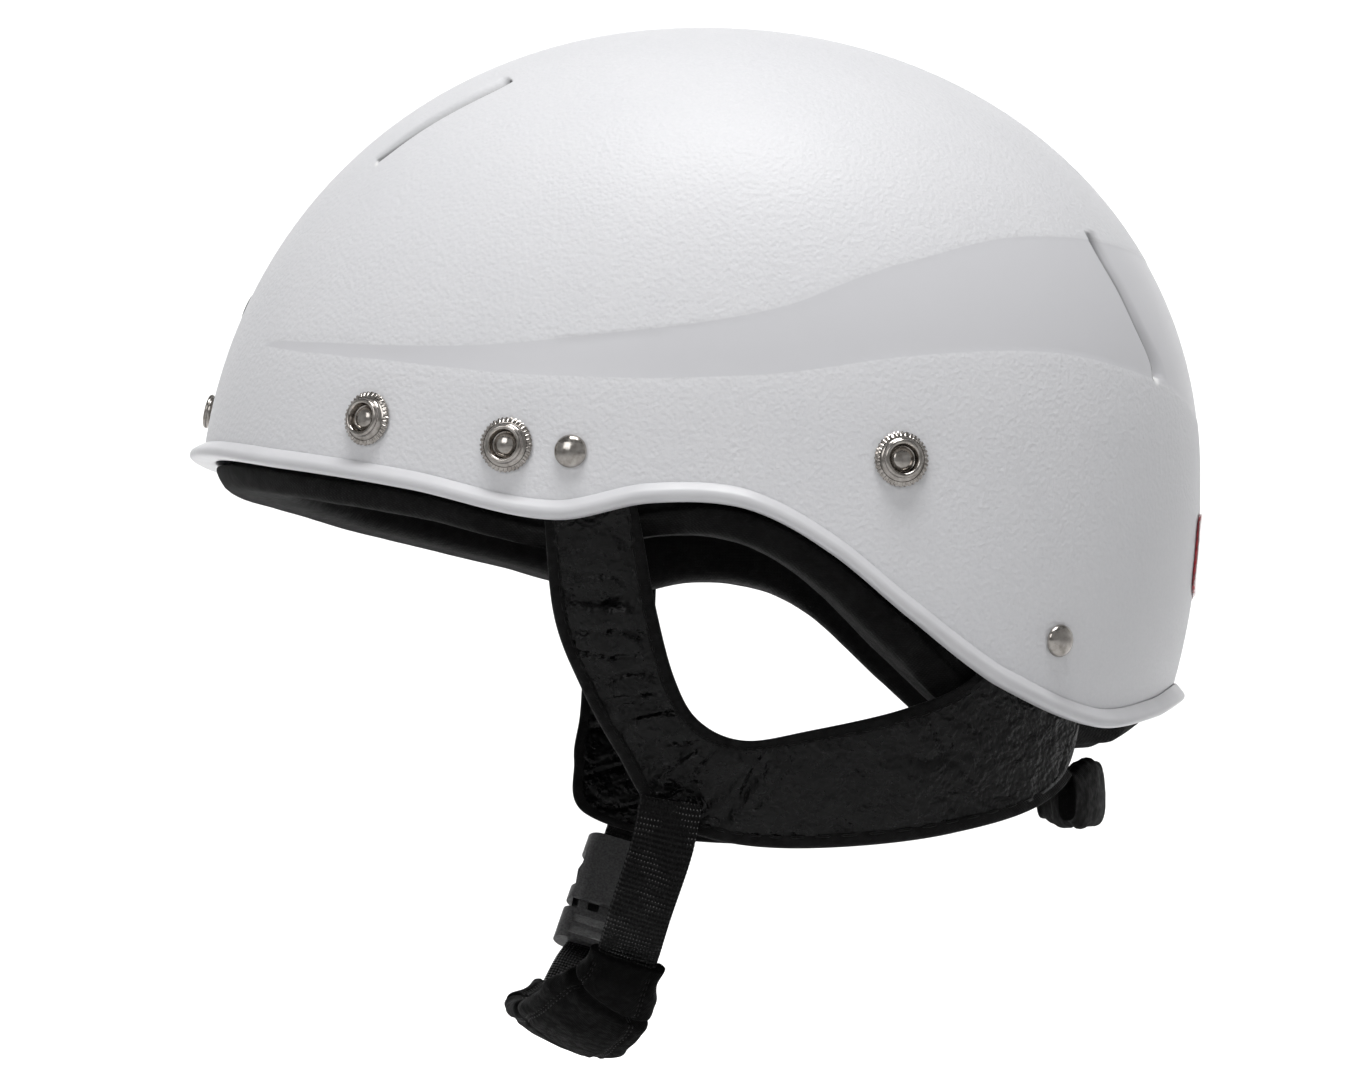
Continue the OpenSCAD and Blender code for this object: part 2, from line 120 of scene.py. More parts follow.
def spline(p, u):
    """Catmull-Rom through the points p at places u."""
    p, u = np.asarray(p, float), np.asarray(u, float)
    last = len(p) - 1
    i = np.clip(np.floor(u).astype(int), 0, last - 1)
    f = (u - i)[..., None]
    a, b, c, d = p[np.maximum(i - 1, 0)], p[i], p[i + 1], p[np.minimum(i + 2, last)]
    return b + f * 0.5 * ((c - a) + f * ((2 * a - 5 * b + 4 * c - d) + f * (3 * b - a - 3 * c + d)))


def through(points, x):
    """Height of the smooth curve through points, at x."""
    points = np.asarray(points, float)
    x = np.asarray(x, float)
    i = np.clip(np.searchsorted(points[:, 0], x, side="right") - 1, 0, len(points) - 2)
    u = np.clip((x - points[i, 0]) / (points[i + 1, 0] - points[i, 0]), 0, 1)
    return spline(points, i + u)[..., 1]


def rim_z(x):
    return through(RIM, x)


def rim_at(th):
    return rim_z(skin(th, rim_z(skin(th, 0)[..., 0]))[..., 0])


def fall_z(th, f):
    m = f * f
    return CROWN_H - (MEAN_FALL * (1 - m) + (CROWN_H - rim_at(th)) * m) * (1 - np.cos(np.pi / 2 * f))


def dome(th, f):
    return skin(th, fall_z(th, f))


def unit(v):
    return v / np.maximum(np.linalg.norm(v, axis=-1, keepdims=True), 1e-9)


def dome_n(th, f):
    g, e = np.maximum(f, 0.02), 0.004
    return unit(np.cross(dome(th + 0.4, g) - dome(th - 0.4, g), dome(th, g - e) - dome(th, g + e)))


def inside(th, f, depth):
    th, f = np.broadcast_arrays(np.asarray(th, float), np.asarray(f, float))
    return dome(th, f) - np.asarray(depth)[..., None] * dome_n(th, f)


def side_normal(x, z):
    e = 0.2
    dx = (skin_y(x + e, z) - skin_y(x - e, z)) / (2 * e)
    dz = (skin_y(x, z + e) - skin_y(x, z - e)) / (2 * e)
    return unit(np.stack([-dx, np.ones_like(dx), -dz], -1))


def smooth(t):
    t = np.clip(t, 0, 1)
    return t * t * (3 - 2 * t)


def perlin(points, size, seed=0.0):
    """Smooth noise from -1 to 1 at points in millimetres, with lumps of that size."""
    flat = np.asarray(points, float).reshape(-1, 3) / size + seed
    out = np.array([noise.noise(Vector(p)) for p in flat])
    return out.reshape(np.asarray(points).shape[:-1])


# ---------------------------------------- mesh building
def make(name, verts, faces, material, crease=None):
    """A mesh object from points in millimetres, with its normals outwards."""
    mesh = bpy.data.meshes.new(name)
    mesh.from_pydata((np.asarray(verts, float) * MM).tolist(), [], faces)
    bm = bmesh.new()
    bm.from_mesh(mesh)
    bmesh.ops.recalc_face_normals(bm, faces=bm.faces)
    bm.to_mesh(mesh)
    bm.free()
    mesh.shade_smooth()
    if crease:
        mesh.set_sharp_from_angle(angle=math.radians(crease))
    obj = bpy.data.objects.new(name, mesh)
    bpy.context.scene.collection.objects.link(obj)
    if material:
        mesh.materials.append(material)
    return obj


def loft_faces(n, k, loop, start=0):
    """Quads between n rings of k points, with an end face on each side unless it is a loop."""
    faces = []
    for i in range(n if loop else n - 1):
        a, b = start + i * k, start + (i + 1) % n * k
        faces += [(a + j, a + (j + 1) % k, b + (j + 1) % k, b + j) for j in range(k)]
    if not loop:
        faces.append(tuple(range(start + k - 1, start - 1, -1)))
        faces.append(tuple(range(start + (n - 1) * k, start + n * k)))
    return faces


def loft(name, rings, material, loop=False, crease=None):
    rings = np.asarray(rings, float)
    n, k = rings.shape[:2]
    return make(name, rings.reshape(-1, 3), loft_faces(n, k, loop), material, crease)


def lofts(name, parts, material, crease=None):
    """Several closed lofts in one object."""
    verts, faces = [], []
    for rings in parts:
        rings = np.asarray(rings, float)
        n, k = rings.shape[:2]
        faces += loft_faces(n, k, False, sum(len(v) for v in verts))
        verts.append(rings.reshape(-1, 3))
    return make(name, np.concatenate(verts), faces, material, crease)


def add_values(obj, name, values):
    """Stores one number per vertex for a material to read."""
    layer = obj.data.attributes.new(name, "FLOAT", "POINT")
    layer.data.foreach_set("value", np.asarray(values, np.float32).ravel())


def place(obj, body, slot, *nodes):
    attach(obj, body)
    if nodes:
        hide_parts(*nodes)
    return obj


# ---------------------------------------- materials
class Look:
    """A material under construction: a node tree with a few short ways to add to it."""

    def __init__(self, name, color, rough, metal=0.0, coat=0.0, coat_rough=0.1, sheen=0.0, level=0.5):
        self.mat = bpy.data.materials.new(name)
        self.mat.use_nodes = True
        self.tree = self.mat.node_tree
        self.bsdf = self.tree.nodes["Principled BSDF"]
        self.height = None
        self.set("Base Color", (*color, 1))
        self.set("Roughness", rough)
        self.set("Metallic", metal)
        self.set("Coat Weight", coat)
        self.set("Coat Roughness", coat_rough)
        self.set("Sheen Weight", sheen)
        self.set("Sheen Roughness", 0.45)
        self.set("Specular IOR Level", level)

    def set(self, socket, value):
        self.bsdf.inputs[socket].default_value = value

    def node(self, kind, **values):
        made = self.tree.nodes.new(kind)
        for key, value in values.items():
            if key in made.inputs:
                made.inputs[key].default_value = value
            else:
                setattr(made, key, value)
        return made

    def link(self, a, b):
        self.tree.links.new(a, b)

    def where(self):
        return self.node("ShaderNodeTexCoord").outputs["Object"]

    def value(self, name):
        return self.node("ShaderNodeAttribute", attribute_name=name).outputs["Fac"]

    def math(self, operation, a, b=None, clamp=False):
        made = self.node("ShaderNodeMath", operation=operation, use_clamp=clamp)
        for socket, x in zip(made.inputs, (a, b)):
            if x is None:
                continue
            if isinstance(x, (int, float)):
                socket.default_value = x
            else:
                self.link(x, socket)
        return made.outputs[0]

    def noise(self, size_mm, detail=2.0, rough=0.5, warp=0.0):
        made = self.node("ShaderNodeTexNoise", Scale=1000 / size_mm, Detail=detail, Roughness=rough,
                         Distortion=warp)
        self.link(self.where(), made.inputs["Vector"])
        return made.outputs["Fac"]

    def cells(self, size_mm, feature="F1", jitter=1.0):
        made = self.node("ShaderNodeTexVoronoi", feature=feature, Scale=1000 / size_mm, Randomness=jitter)
        self.link(self.where(), made.inputs["Vector"])
        return made.outputs["Distance"]

    def ramp(self, fac, stops):
        made = self.node("ShaderNodeValToRGB")
        elements = made.color_ramp.elements
        while len(elements) < len(stops):
            elements.new(0.5)
        for element, (at, color) in zip(elements, stops):
            element.position = at
            element.color = (*color, 1)
        self.link(fac, made.inputs["Fac"])
        return made.outputs["Color"]

    def tint(self, fac, dark, light, lo=0.3, hi=0.7):
        self.link(self.ramp(fac, [(lo, dark), (hi, light)]), self.bsdf.inputs["Base Color"])

    def between(self, fac, low, high, socket, lo=0.3, hi=0.7):
        made = self.node("ShaderNodeMapRange", interpolation_type="SMOOTHSTEP")
        for key, value in (("From Min", lo), ("From Max", hi), ("To Min", low), ("To Max", high)):
            made.inputs[key].default_value = value
        self.link(fac, made.inputs["Value"])
        if socket:
            self.link(made.outputs[0], self.bsdf.inputs[socket])
        return made.outputs[0]

    def bump(self, height, depth_mm, strength=1.0):
        made = self.node("ShaderNodeBump", Distance=depth_mm * MM)
        if isinstance(strength, (int, float)):
            made.inputs["Strength"].default_value = strength
        else:
            self.link(strength, made.inputs["Strength"])
        self.link(height, made.inputs["Height"])
        if self.height:
            self.link(self.height, made.inputs["Normal"])
        self.height = made.outputs["Normal"]
        self.link(self.height, self.bsdf.inputs["Normal"])


def shell_plastic():
    """White moulded plastic: leather grain with a soft pearl sheen, a smooth swoosh band, and painted shadow and
    highlight in the grooves.
    """
    k = Look("shell_plastic", (0.8, 0.8, 0.81), 0.4, coat=0.04, coat_rough=0.3, level=0.3)
    band = k.between(k.value("band_mm"), 0, 1, None, -0.25, 0.25)
    grain = k.math("SUBTRACT", 1.0, band)
    cells = k.cells(1.15, "SMOOTH_F1")
    warped = k.noise(0.9, 3.0, 0.6, 0.6)
    k.bump(k.math("ADD", cells, k.math("MULTIPLY", warped, 0.8)), 0.16, k.math("MULTIPLY", grain, 0.85))
    k.bump(k.noise(45, 2.0), 0.5, 0.04)
    patches = k.noise(30, 3.0)
    speck = k.math("MULTIPLY", k.noise(0.8, 2.0), grain)
    tone = k.ramp(k.math("ADD", k.math("MULTIPLY", patches, 0.4), k.math("MULTIPLY", speck, 0.6)),
                  [(0.2, (0.77, 0.775, 0.80)), (0.7, (0.83, 0.83, 0.85))])
    mix = k.node("ShaderNodeMix", data_type="RGBA")
    k.link(band, mix.inputs["Factor"])
    k.link(tone, mix.inputs[6])
    mix.inputs[7].default_value = (0.73, 0.73, 0.755, 1)
    # painted shade: a dark line on each groove's sharp edge and darker colour over its scoop, where shadow falls;
    # painted highlight: white on each groove's bright end
    edge = k.value("edge_mm")
    line = k.math("MULTIPLY", k.between(edge, 0, 1, None, -0.25, 0.0), k.between(edge, 1, 0, None, 0.8, 1.5))
    shade = k.math("MULTIPLY", k.between(edge, 0, 1, None, -0.2, 0.1), k.between(edge, 1, 0, None, 0.8, 3.6))
    painted_groove_shade = k.math("ADD", k.math("MULTIPLY", k.math("MULTIPLY", line, k.value("painted_edge_shadow")), 0.9),
                  k.math("MULTIPLY", k.math("MULTIPLY", shade, k.value("painted_scoop_shade")), 0.55), clamp=True)
    darken = k.node("ShaderNodeMix", data_type="RGBA", blend_type="MIX")
    k.link(painted_groove_shade, darken.inputs["Factor"])
    k.link(mix.outputs[2], darken.inputs[6])
    darken.inputs[7].default_value = (0.03, 0.03, 0.032, 1)
    lighten = k.node("ShaderNodeMix", data_type="RGBA", blend_type="MIX")
    k.link(k.value("painted_end_highlight"), lighten.inputs["Factor"])
    k.link(darken.outputs[2], lighten.inputs[6])
    lighten.inputs[7].default_value = (1, 1, 1, 1)
    k.link(lighten.outputs[2], k.bsdf.inputs["Base Color"])
    rough = k.math("ADD", k.math("MULTIPLY", speck, 0.12), k.math("MULTIPLY", grain, 0.06))
    k.link(k.math("ADD", rough, 0.34), k.bsdf.inputs["Roughness"])
    return k.mat


def trim_plastic():
    k = Look("trim_plastic", (0.7, 0.7, 0.72), 0.36, coat=0.1, coat_rough=0.2, level=0.4)
    k.tint(k.noise(12, 3), (0.68, 0.68, 0.7), (0.72, 0.72, 0.74))
    k.between(k.noise(4, 3), 0.32, 0.42, "Roughness")
    return k.mat


def nickel():
    """Nickel plate with fine turning marks, small dents and a little tarnish."""
    k = Look("nickel", (0.74, 0.71, 0.67), 0.16, metal=1.0)
    k.tint(k.noise(2.2, 4, 0.65), (0.3, 0.275, 0.25), (0.55, 0.52, 0.49), 0.3, 0.66)
    k.between(k.noise(1.1, 4, 0.7), 0.07, 0.26, "Roughness")
    k.bump(k.noise(0.5, 4, 0.7), 0.03, 0.35)
    return k.mat


def steel():
    k = Look("steel", (0.5, 0.5, 0.5), 0.35, metal=1.0)
    k.tint(k.noise(1.5, 3), (0.4, 0.4, 0.4), (0.58, 0.58, 0.57))
    k.between(k.noise(0.7, 4, 0.7), 0.28, 0.5, "Roughness")
    k.bump(k.noise(0.4, 3), 0.02, 0.3)
    return k.mat


def leatherette():
    """Black leatherette: fine pebble, creases that catch the light, and scuffs."""
    k = Look("yoke_leather", (0.003, 0.003, 0.003), 0.32, level=0.22)
    k.tint(k.noise(6, 4, 0.6), (0.001, 0.001, 0.001), (0.003, 0.0033, 0.0033))
    k.bump(k.noise(6, 3, 0.55, 0.8), 3.0, 0.5)
    k.bump(k.cells(1.3, "SMOOTH_F1"), 0.5, 0.8)
    k.bump(k.noise(0.8, 3, 0.6), 0.25, 0.7)
    k.between(k.noise(4.0, 4, 0.6), 0.14, 0.42, "Roughness")
    return k.mat


def cloth_black(name, tone, thread_mm, rough, sheen, lumps, level=0.16):
    """Plain black cloth, with a thread pattern in all three directions so that it needs no unwrapping."""
    k = Look(name, (tone, tone, tone), rough, sheen=sheen, level=level)
    k.tint(k.noise(lumps, 4, 0.6), (tone * 0.6,) * 3, (tone * 1.6,) * 3)
    at = k.where()
    split = k.node("ShaderNodeSeparateXYZ")
    k.link(at, split.inputs[0])
    turns = 2 * math.pi / (thread_mm * MM)
    waves = [k.math("SINE", k.math("MULTIPLY", split.outputs[i], turns)) for i in range(3)]
    weave = k.math("ADD", k.math("MULTIPLY", waves[0], waves[2]), k.math("MULTIPLY", waves[1], waves[2]))
    k.bump(weave, 0.12, 0.4)
    k.bump(k.noise(0.5, 3, 0.7), 0.15, 0.5)
    k.bump(k.noise(lumps, 3), 0.6, 0.3)
    k.between(k.noise(2, 3), rough - 0.12, min(rough + 0.1, 1), "Roughness")
    return k.mat


def webbing_nylon():
    """Ribbed black webbing: ribs straight across it, and a painted highlight where each warp cord tops a rib,
    stronger in random patches.
    """
    k = Look("webbing", (0.006, 0.006, 0.006), 0.45, level=0.16)
    along, across = k.value("along_mm"), k.value("across_mm")
    wander = k.math("MULTIPLY", k.noise(14, 2), 1.6)
    rib = k.math("SINE", k.math("MULTIPLY", k.math("ADD", along, wander), 2 * math.pi / 1.5))
    cord = k.math("SINE", k.math("MULTIPLY", across, 2 * math.pi / 0.85))
    # painted highlight: lighter colour where each cord tops a rib, varied in random patches
    painted_cord_glints = k.math("MULTIPLY", k.math("MAXIMUM", rib, 0.0), k.math("MAXIMUM", cord, 0.0))
    patchy_painted_glints = k.math("MULTIPLY", painted_cord_glints, k.between(k.noise(9, 2), 0.25, 1.0, None, 0.4, 0.6))
    k.tint(patchy_painted_glints, (0.0005, 0.0005, 0.0005), (0.24, 0.24, 0.24), 0.58, 1.0)
    k.bump(k.math("ADD", rib, k.math("MULTIPLY", cord, 0.7)), 0.35, 0.8)
    k.bump(k.noise(0.35, 3, 0.7), 0.08, 0.5)
    k.between(k.noise(3, 3), 0.36, 0.6, "Roughness")
    return k.mat


def buckle_acetal():
    k = Look("buckle_plastic", (0.03, 0.03, 0.032), 0.42)
    k.tint(k.noise(0.6, 3), (0.045, 0.045, 0.046), (0.11, 0.11, 0.111))
    k.bump(k.cells(0.55), 0.1, 0.6)
    k.bump(k.noise(0.3, 3), 0.05, 0.5)
    k.between(k.noise(1.6, 3), 0.34, 0.55, "Roughness")
    return k.mat


def bead_foam():
    k = Look("liner_foam", (0.03, 0.03, 0.033), 0.7, level=0.35)
    k.tint(k.cells(3.2), (0.045, 0.045, 0.05), (0.016, 0.016, 0.018), 0.1, 0.6)
    k.bump(k.cells(3.2, "SMOOTH_F1"), 0.6, -0.6)
    k.bump(k.noise(0.6, 3), 0.08, 0.5)
    k.between(k.noise(5, 3), 0.6, 0.82, "Roughness")
    return k.mat


def sheet_plastic():
    k = Look("tab_plastic", (0.04, 0.04, 0.04), 0.5)
    k.tint(k.noise(4, 3), (0.03, 0.03, 0.03), (0.055, 0.055, 0.055))
    k.bump(k.noise(0.5, 3), 0.05, 0.5)
    k.between(k.noise(2, 3), 0.42, 0.62, "Roughness")
    return k.mat


def badge_plastic():
    k = Look("badge_plastic", (0.07, 0.07, 0.075), 0.22, coat=0.6, coat_rough=0.06)
    k.tint(k.noise(5, 3), (0.05, 0.05, 0.055), (0.09, 0.09, 0.095))
    k.between(k.noise(2, 3), 0.16, 0.34, "Roughness")
    k.bump(k.noise(1.2, 3), 0.03, 0.3)
    return k.mat


def reflector_plastic():
    """Red prismatic sheet: a grid of small cells under a clear face."""
    k = Look("reflector_plastic", (0.45, 0.015, 0.025), 0.2, coat=0.8, coat_rough=0.05, level=0.6)
    prism = k.cells(2.4, jitter=0.15)
    k.tint(prism, (0.62, 0.03, 0.045), (0.2, 0.004, 0.01), 0.05, 0.6)
    k.bump(prism, 0.6, 0.7)
    k.between(k.noise(2.0, 3), 0.14, 0.32, "Roughness")
    return k.mat


def thread_nylon():
    k = Look("thread", (0.004, 0.004, 0.004), 0.6, sheen=0.01, level=0.15)
    k.tint(k.noise(0.6, 2), (0.0012, 0.0012, 0.0012), (0.003, 0.003, 0.003))
    k.between(k.noise(0.8, 2), 0.4, 0.6, "Roughness")
    k.bump(k.noise(0.25, 2), 0.05, 0.6)
    return k.mat


SHELL, TRIM, NICKEL, STEEL = shell_plastic(), trim_plastic(), nickel(), steel()
LEATHER, WEBBING, ACETAL, FOAM = leatherette(), webbing_nylon(), buckle_acetal(), bead_foam()
TAB, BADGE, REFLECTOR, THREAD = sheet_plastic(), badge_plastic(), reflector_plastic(), thread_nylon()
BAND_CLOTH = cloth_black("band_fabric", 0.0035, 0.9, 0.95, 0.02, 10)
PAD_CLOTH = cloth_black("pad_fabric", 0.009, 1.1, 0.9, 0.1, 9)
TAPE = cloth_black("binding_fabric", 0.0035, 0.7, 0.8, 0.03, 5)
NYLON = cloth_black("chin_fabric", 0.0015, 0.6, 0.75, 0.0, 7, 0.06)

# ---------------------------------------- the shell
# The swoosh band's edges and the grooves, as places in the side view
BAND_TOP = [[-112, 37.6], [-94, 34.6], [-71, 31.6], [-45, 30.3], [-15, 32.2], [7, 34.4], [29, 38.8],
            [50, 47.4], [63, 52], [78, 57.2], [88, 59.6], [104, 61.4], [140, 62]]
BAND_FOOT = [[-112, 36.6], [-99, 32.9], [-83, 29.6], [-50, 24.3], [-34, 22.3], [-6, 20.8], [19, 21.2],
             [33, 22.5], [54, 25.8], [73, 28], [88, 29.2], [101, 29], [117, 26.8], [126, 24.6], [140, 18]]
BAND_START, BAND_SINK, NO_BAND = -111, 0.16, -3
# For each groove: [x, z] along the sharp edge with the scoop on its left, the scoop's greatest width and
# depth, the strengths of its painted shadow line along the edge and of its painted shade over the scoop at
# places 0 to 1 along the edge, and the middle and half-size of its painted highlight at the bright end
GROOVES = [
    ([[-79.3, 83.9], [-76, 86.2], [-71.1, 89.7], [-65.2, 93.4], [-59.3, 96.6], [-53.3, 99.6], [-48, 102.2],
      [-43.6, 104.7]],
     4.4, 2.6,
     ([0, 0.5, 1], [0.45, 0.5, 1]), ([0, 0.6, 1], [0.6, 0.7, 1]),
     (-79.6, 83.7), (0.5, 0.7)),
    ([[103.8, 63.8], [107.4, 56.8], [112.4, 48.2], [116.8, 39.1], [119.7, 33.2], [121.1, 29.3], [121.4, 25.9]],
     4.6, 2.8,
     ([0, 0.2, 0.5, 0.8, 1], [0.15, 0.35, 0.9, 1, 1]), ([0, 0.08, 0.2, 1], [1, 0.8, 0.3, 0.3]),
     (122.5, 26.4), (0.7, 1.9))]
# how far a groove is looked for, the edge distance where there is none, and the width of its sharp step
GROOVE_NEAR, NO_GROOVE, GROOVE_STEP = 8, 9.0, 0.6


def grooves_at(x, z):
    """The scoops at places in the side view: depth, distance past the sharp edge, painted edge shadow,
    painted scoop shade and painted highlight at the bright end.
    """
    depth, edge = np.zeros_like(x), np.full(x.shape, NO_GROOVE)
    painted_edge_shadow, painted_scoop_shade, painted_end_highlight = np.zeros_like(x), np.zeros_like(x), np.zeros_like(x)
    for line, width, deepest, edge_shadow_strength, scoop_shade_strength, tip, tip_size in GROOVES:
        path = spline(line, np.linspace(0, len(line) - 1, 60))
        (x_min, z_min), (x_max, z_max) = path.min(0) - GROOVE_NEAR, path.max(0) + GROOVE_NEAR
        near = (x > x_min) & (x < x_max) & (z > z_min) & (z < z_max)
        if not near.any():
            continue
        q = np.stack([x[near], z[near]], -1)[:, None, :]
        a, ab = path[:-1], path[1:] - path[:-1]
        t = np.clip(((q - a) * ab).sum(-1) / (ab * ab).sum(-1), 0, 1)
        gap = q - (a + t[..., None] * ab)
        dist = np.linalg.norm(gap, axis=-1)
        i = dist.argmin(1)
        row = np.arange(len(i))
        across = np.sign(ab[i, 0] * gap[row, i, 1] - ab[i, 1] * gap[row, i, 0]) * dist[row, i]
        along = (i + t[row, i]) / len(ab)
        close = smooth((1 - along) / 0.07)
        reach = width * (0.3 + 0.7 * along) * close ** 0.5
        fade = smooth(along / 0.1) * (0.35 + 0.65 * along) * close
        wall = smooth(across / GROOVE_STEP)
        floor = smooth(1 - across / np.maximum(reach, 0.3))
        depth[near] = np.maximum(depth[near], deepest * fade * wall * floor)
        edge[near] = across
        # painted shadow along the sharp edge and painted shade over the scoop, fading out away from the edge and
        # at the ends; a painted highlight sits on the bright end
        beside = smooth((6 - np.abs(across)) / 3) * smooth(along / 0.03) * smooth((1 - along) / 0.03)
        painted_edge_shadow[near] = beside * np.interp(along, *edge_shadow_strength)
        painted_scoop_shade[near] = beside * np.interp(along, *scoop_shade_strength)
        painted_end_highlight[near] = smooth(1.5 - np.linalg.norm((q[:, 0] - tip) / tip_size, axis=-1))
    return depth, edge, painted_edge_shadow, painted_scoop_shade, painted_end_highlight


def stepped(limits):
    """Values through the (end, step) limits, starting at 0."""
    out, at = [], 0.0
    for end, step in limits:
        count = max(1, round((end - at) / step))
        out += list(at + (end - at) * np.arange(count) / count)
        at = end
    return np.array(out + [at])


def build_shell():
    # azimuths and falls from the crown, in finer steps across the two grooves
    half = stepped([(22, 1.1), (42, 0.22), (120, 1.1), (150, 0.3), (180, 1.1)])
    th = np.concatenate([half, 360 - half[1:-1][::-1]])
    falls = stepped([(0.33, 0.014), (0.54, 0.0032), (0.57, 0.01), (0.79, 0.0034), (1, 0.01)])[1:]
    T, F = np.meshgrid(th, falls)
    outer = dome(T, F)
    normal = dome_n(T, F)
    depth, *marks = grooves_at(outer[..., 0], outer[..., 2])
    band = np.minimum(through(BAND_TOP, outer[..., 0]) - outer[..., 2],
                      outer[..., 2] - through(BAND_FOOT, outer[..., 0]))
    band = np.where(outer[..., 0] < BAND_START, NO_BAND, band)
    sink = BAND_SINK * smooth(band / 0.5 + 0.5)
    outer = outer - (depth + sink)[..., None] * normal
    few = falls[::-8]
    Ti, Fi = np.meshgrid(th, few)
    inner = inside(Ti, Fi, np.full(Ti.shape, SHELL_T))
    obj = loft("outer_shell_grained", np.concatenate([outer, inner]), SHELL, crease=50)
    behind = np.zeros(inner.shape[0] * inner.shape[1])
    add_values(obj, "band_mm", np.concatenate([band.ravel(), behind + NO_BAND]))
    # the grooves' painted shadow line, painted shade and painted highlight are stored for the material
    for name, values in zip(("edge_mm", "painted_edge_shadow", "painted_scoop_shade", "painted_end_highlight"), marks):
        add_values(obj, name, np.concatenate([values.ravel(), behind]))
    place(obj, "helmet", "shell_plastic", "outer_shell")


# ---------------------------------------- rim trim and edge band
RIM_RINGS, BAND_RINGS = 960, 360
LIP, LIP_MORE = 2.5, 1.3               # the lip at the sides, and how much further it reaches at the ends
BAND_ARMS_X, BAND_ARM_HALF = (-22, 90), 30     # where the yokes' arms pass behind the edge band


def rim_rings(section, count):
    """Rings of a section carried round the rim: section(th, p) gives its [outwards, downwards] points."""
    th = np.arange(count) * 360 / count
    p, n = dome(th, 1.0), dome_n(th, 1.0)
    down = unit(dome(th, 1.0) - dome(th, 0.99))
    s = section(th, p)
    return p[:, None] + s[..., :1] * n[:, None] + s[..., 1:] * down[:, None]


def rounded(points, times=2):
    """Cuts the corners of closed outlines, [..., k, d], several times over."""
    for _ in range(times):
        after = np.roll(points, -1, axis=-2)
        points = np.stack([points * 0.75 + after * 0.25, points * 0.25 + after * 0.75], -2)
        points = points.reshape(*points.shape[:-3], -1, points.shape[-1])
    return points


def build_rim():
    inner = -SHELL_T - 0.2

    def section(th, _):
        lip = LIP + LIP_MORE * np.abs(np.cos(np.radians(th))) ** 3
        rows = [[0.15, -3.3], [0.7, -3.1], [0.65 * lip, -2.0], [0.95 * lip, -1.1], [lip, 0.1],
                [0.85 * lip, 1.1], [1.2, 1.6], [inner + 0.2, 1.6], [inner - 0.8, 0.9],
                [inner - 0.8, -3.8], [inner - 0.1, -3.8], [inner, 0.2], [0.1, 0.2]]
        return rounded(np.stack([np.stack([np.broadcast_to(a, th.shape), np.full(th.shape, float(b))], -1)
                                 for a, b in rows], 1), 3)

    bead = loft("rim_trim_bead", rim_rings(section, RIM_RINGS), TRIM, loop=True)
    place(bead, "helmet", "trim_plastic", "rim_trim")


def build_band():
    """The black edge of the liner, soft and a little uneven."""

    def section(_, p):
        x = p[:, 0]
        arms = [1 - ((x - at) / BAND_ARM_HALF) ** 4 for at in BAND_ARMS_X]
        arm = np.maximum.reduce([*arms, np.zeros_like(x)])
        o = -SHELL_T - 0.7 - 6 * arm
        wave = 0.3 * perlin(p, 22) + 0.08 * perlin(p, 6, 3.1)
        d = BAND_DROP + 3 * np.clip((x - 5) / 40, 0, 1) + wave - 0.3
        rows = [[o - 1.2, 2.3 + 0 * x], [o, 2.7 + arm], [o - 1.3 - 2.5 * arm, d - 3.2],
                [o - 4.2 - 2.5 * arm, d], [0 * x - 15, d - 0.2], [0 * x - LINER_IN + 4, d],
                [0 * x - LINER_IN + 0.1, d - 3], [0 * x - LINER_IN + 0.1, 0 * x - 10],
                [0 * x - LINER_OUT, 0 * x - 10], [0 * x - LINER_OUT, 1 + 0 * x]]
        return rounded(np.stack([np.stack(r, -1) for r in rows], 1), 2)

    band = loft("liner_edge_cloth", rim_rings(section, BAND_RINGS), BAND_CLOTH, loop=True)
    place(band, "helmet", "band_fabric", "liner_edge_band")


# ---------------------------------------- metal fittings
STUDS = [[-77, 13.2], [-40.7, 5], [56, 0.8]]
FRONT_STUD_Z = 24.5
RIVETS = [[-24.6, 3], [95.2, -42.5]]
STUD_R, POST_R, STUD_H, DISH_R, SEAT = 6.85, 4.8, 3.4, 3.3, 0.25
TEETH = 36
HEAD_R = 4.1
# the stack behind the shell on a harness rivet, inwards: gap, tab, gap, strap end, washer gap and tail
TAB_GAP, TAB_T, END_GAP, END_T, WASHER_GAP, RIVET_TAIL = 0.9, 0.9, 0.2, 1.5, 0.4, 1.5


def side_spots(places):
    for side in (-1, 1):
        for x, z in places:
            n = side_normal(np.array(float(x)), np.array(float(z)))
            yield Vector((x, side * float(skin_y(x, z)), z)), Vector((n[0], side * n[1], n[2]))


def front_spot():
    e = 0.2
    slope = float(front_x(FRONT_STUD_Z + e) - front_x(FRONT_STUD_Z - e)) / (2 * e)
    return Vector((float(front_x(FRONT_STUD_Z)), 0, FRONT_STUD_Z)), Vector((-1, 0, slope)).normalized()


def turned(name, profile, spots, material, count=96, crease=38, shape=None):
    """Closed turned solids, [radius, height] profiles set on spots of the shell."""
    profile = np.array(profile, float)
    angle = np.arange(count) * 2 * math.pi / count
    parts = []
    for at, n in spots:
        turn = np.array(n.to_track_quat("Z", "Y").to_matrix())
        r = np.repeat(profile[:, :1], count, 1)
        z = np.repeat(profile[:, 1:], count, 1)
        if shape is not None:
            r, z = shape(r, z, angle)
        local = np.stack([r * np.cos(angle), r * np.sin(angle), z], -1)
        parts.append(local @ turn.T + np.array(at))
    return lofts(name, parts, material, crease)


def arc(cx, cz, r, a0, a1, steps):
    """Points of an arc in a profile, from angle a0 to a1 in degrees."""
    return [[cx + r * math.cos(math.radians(a)), cz + r * math.sin(math.radians(a))]
            for a in np.linspace(a0, a1, steps)]


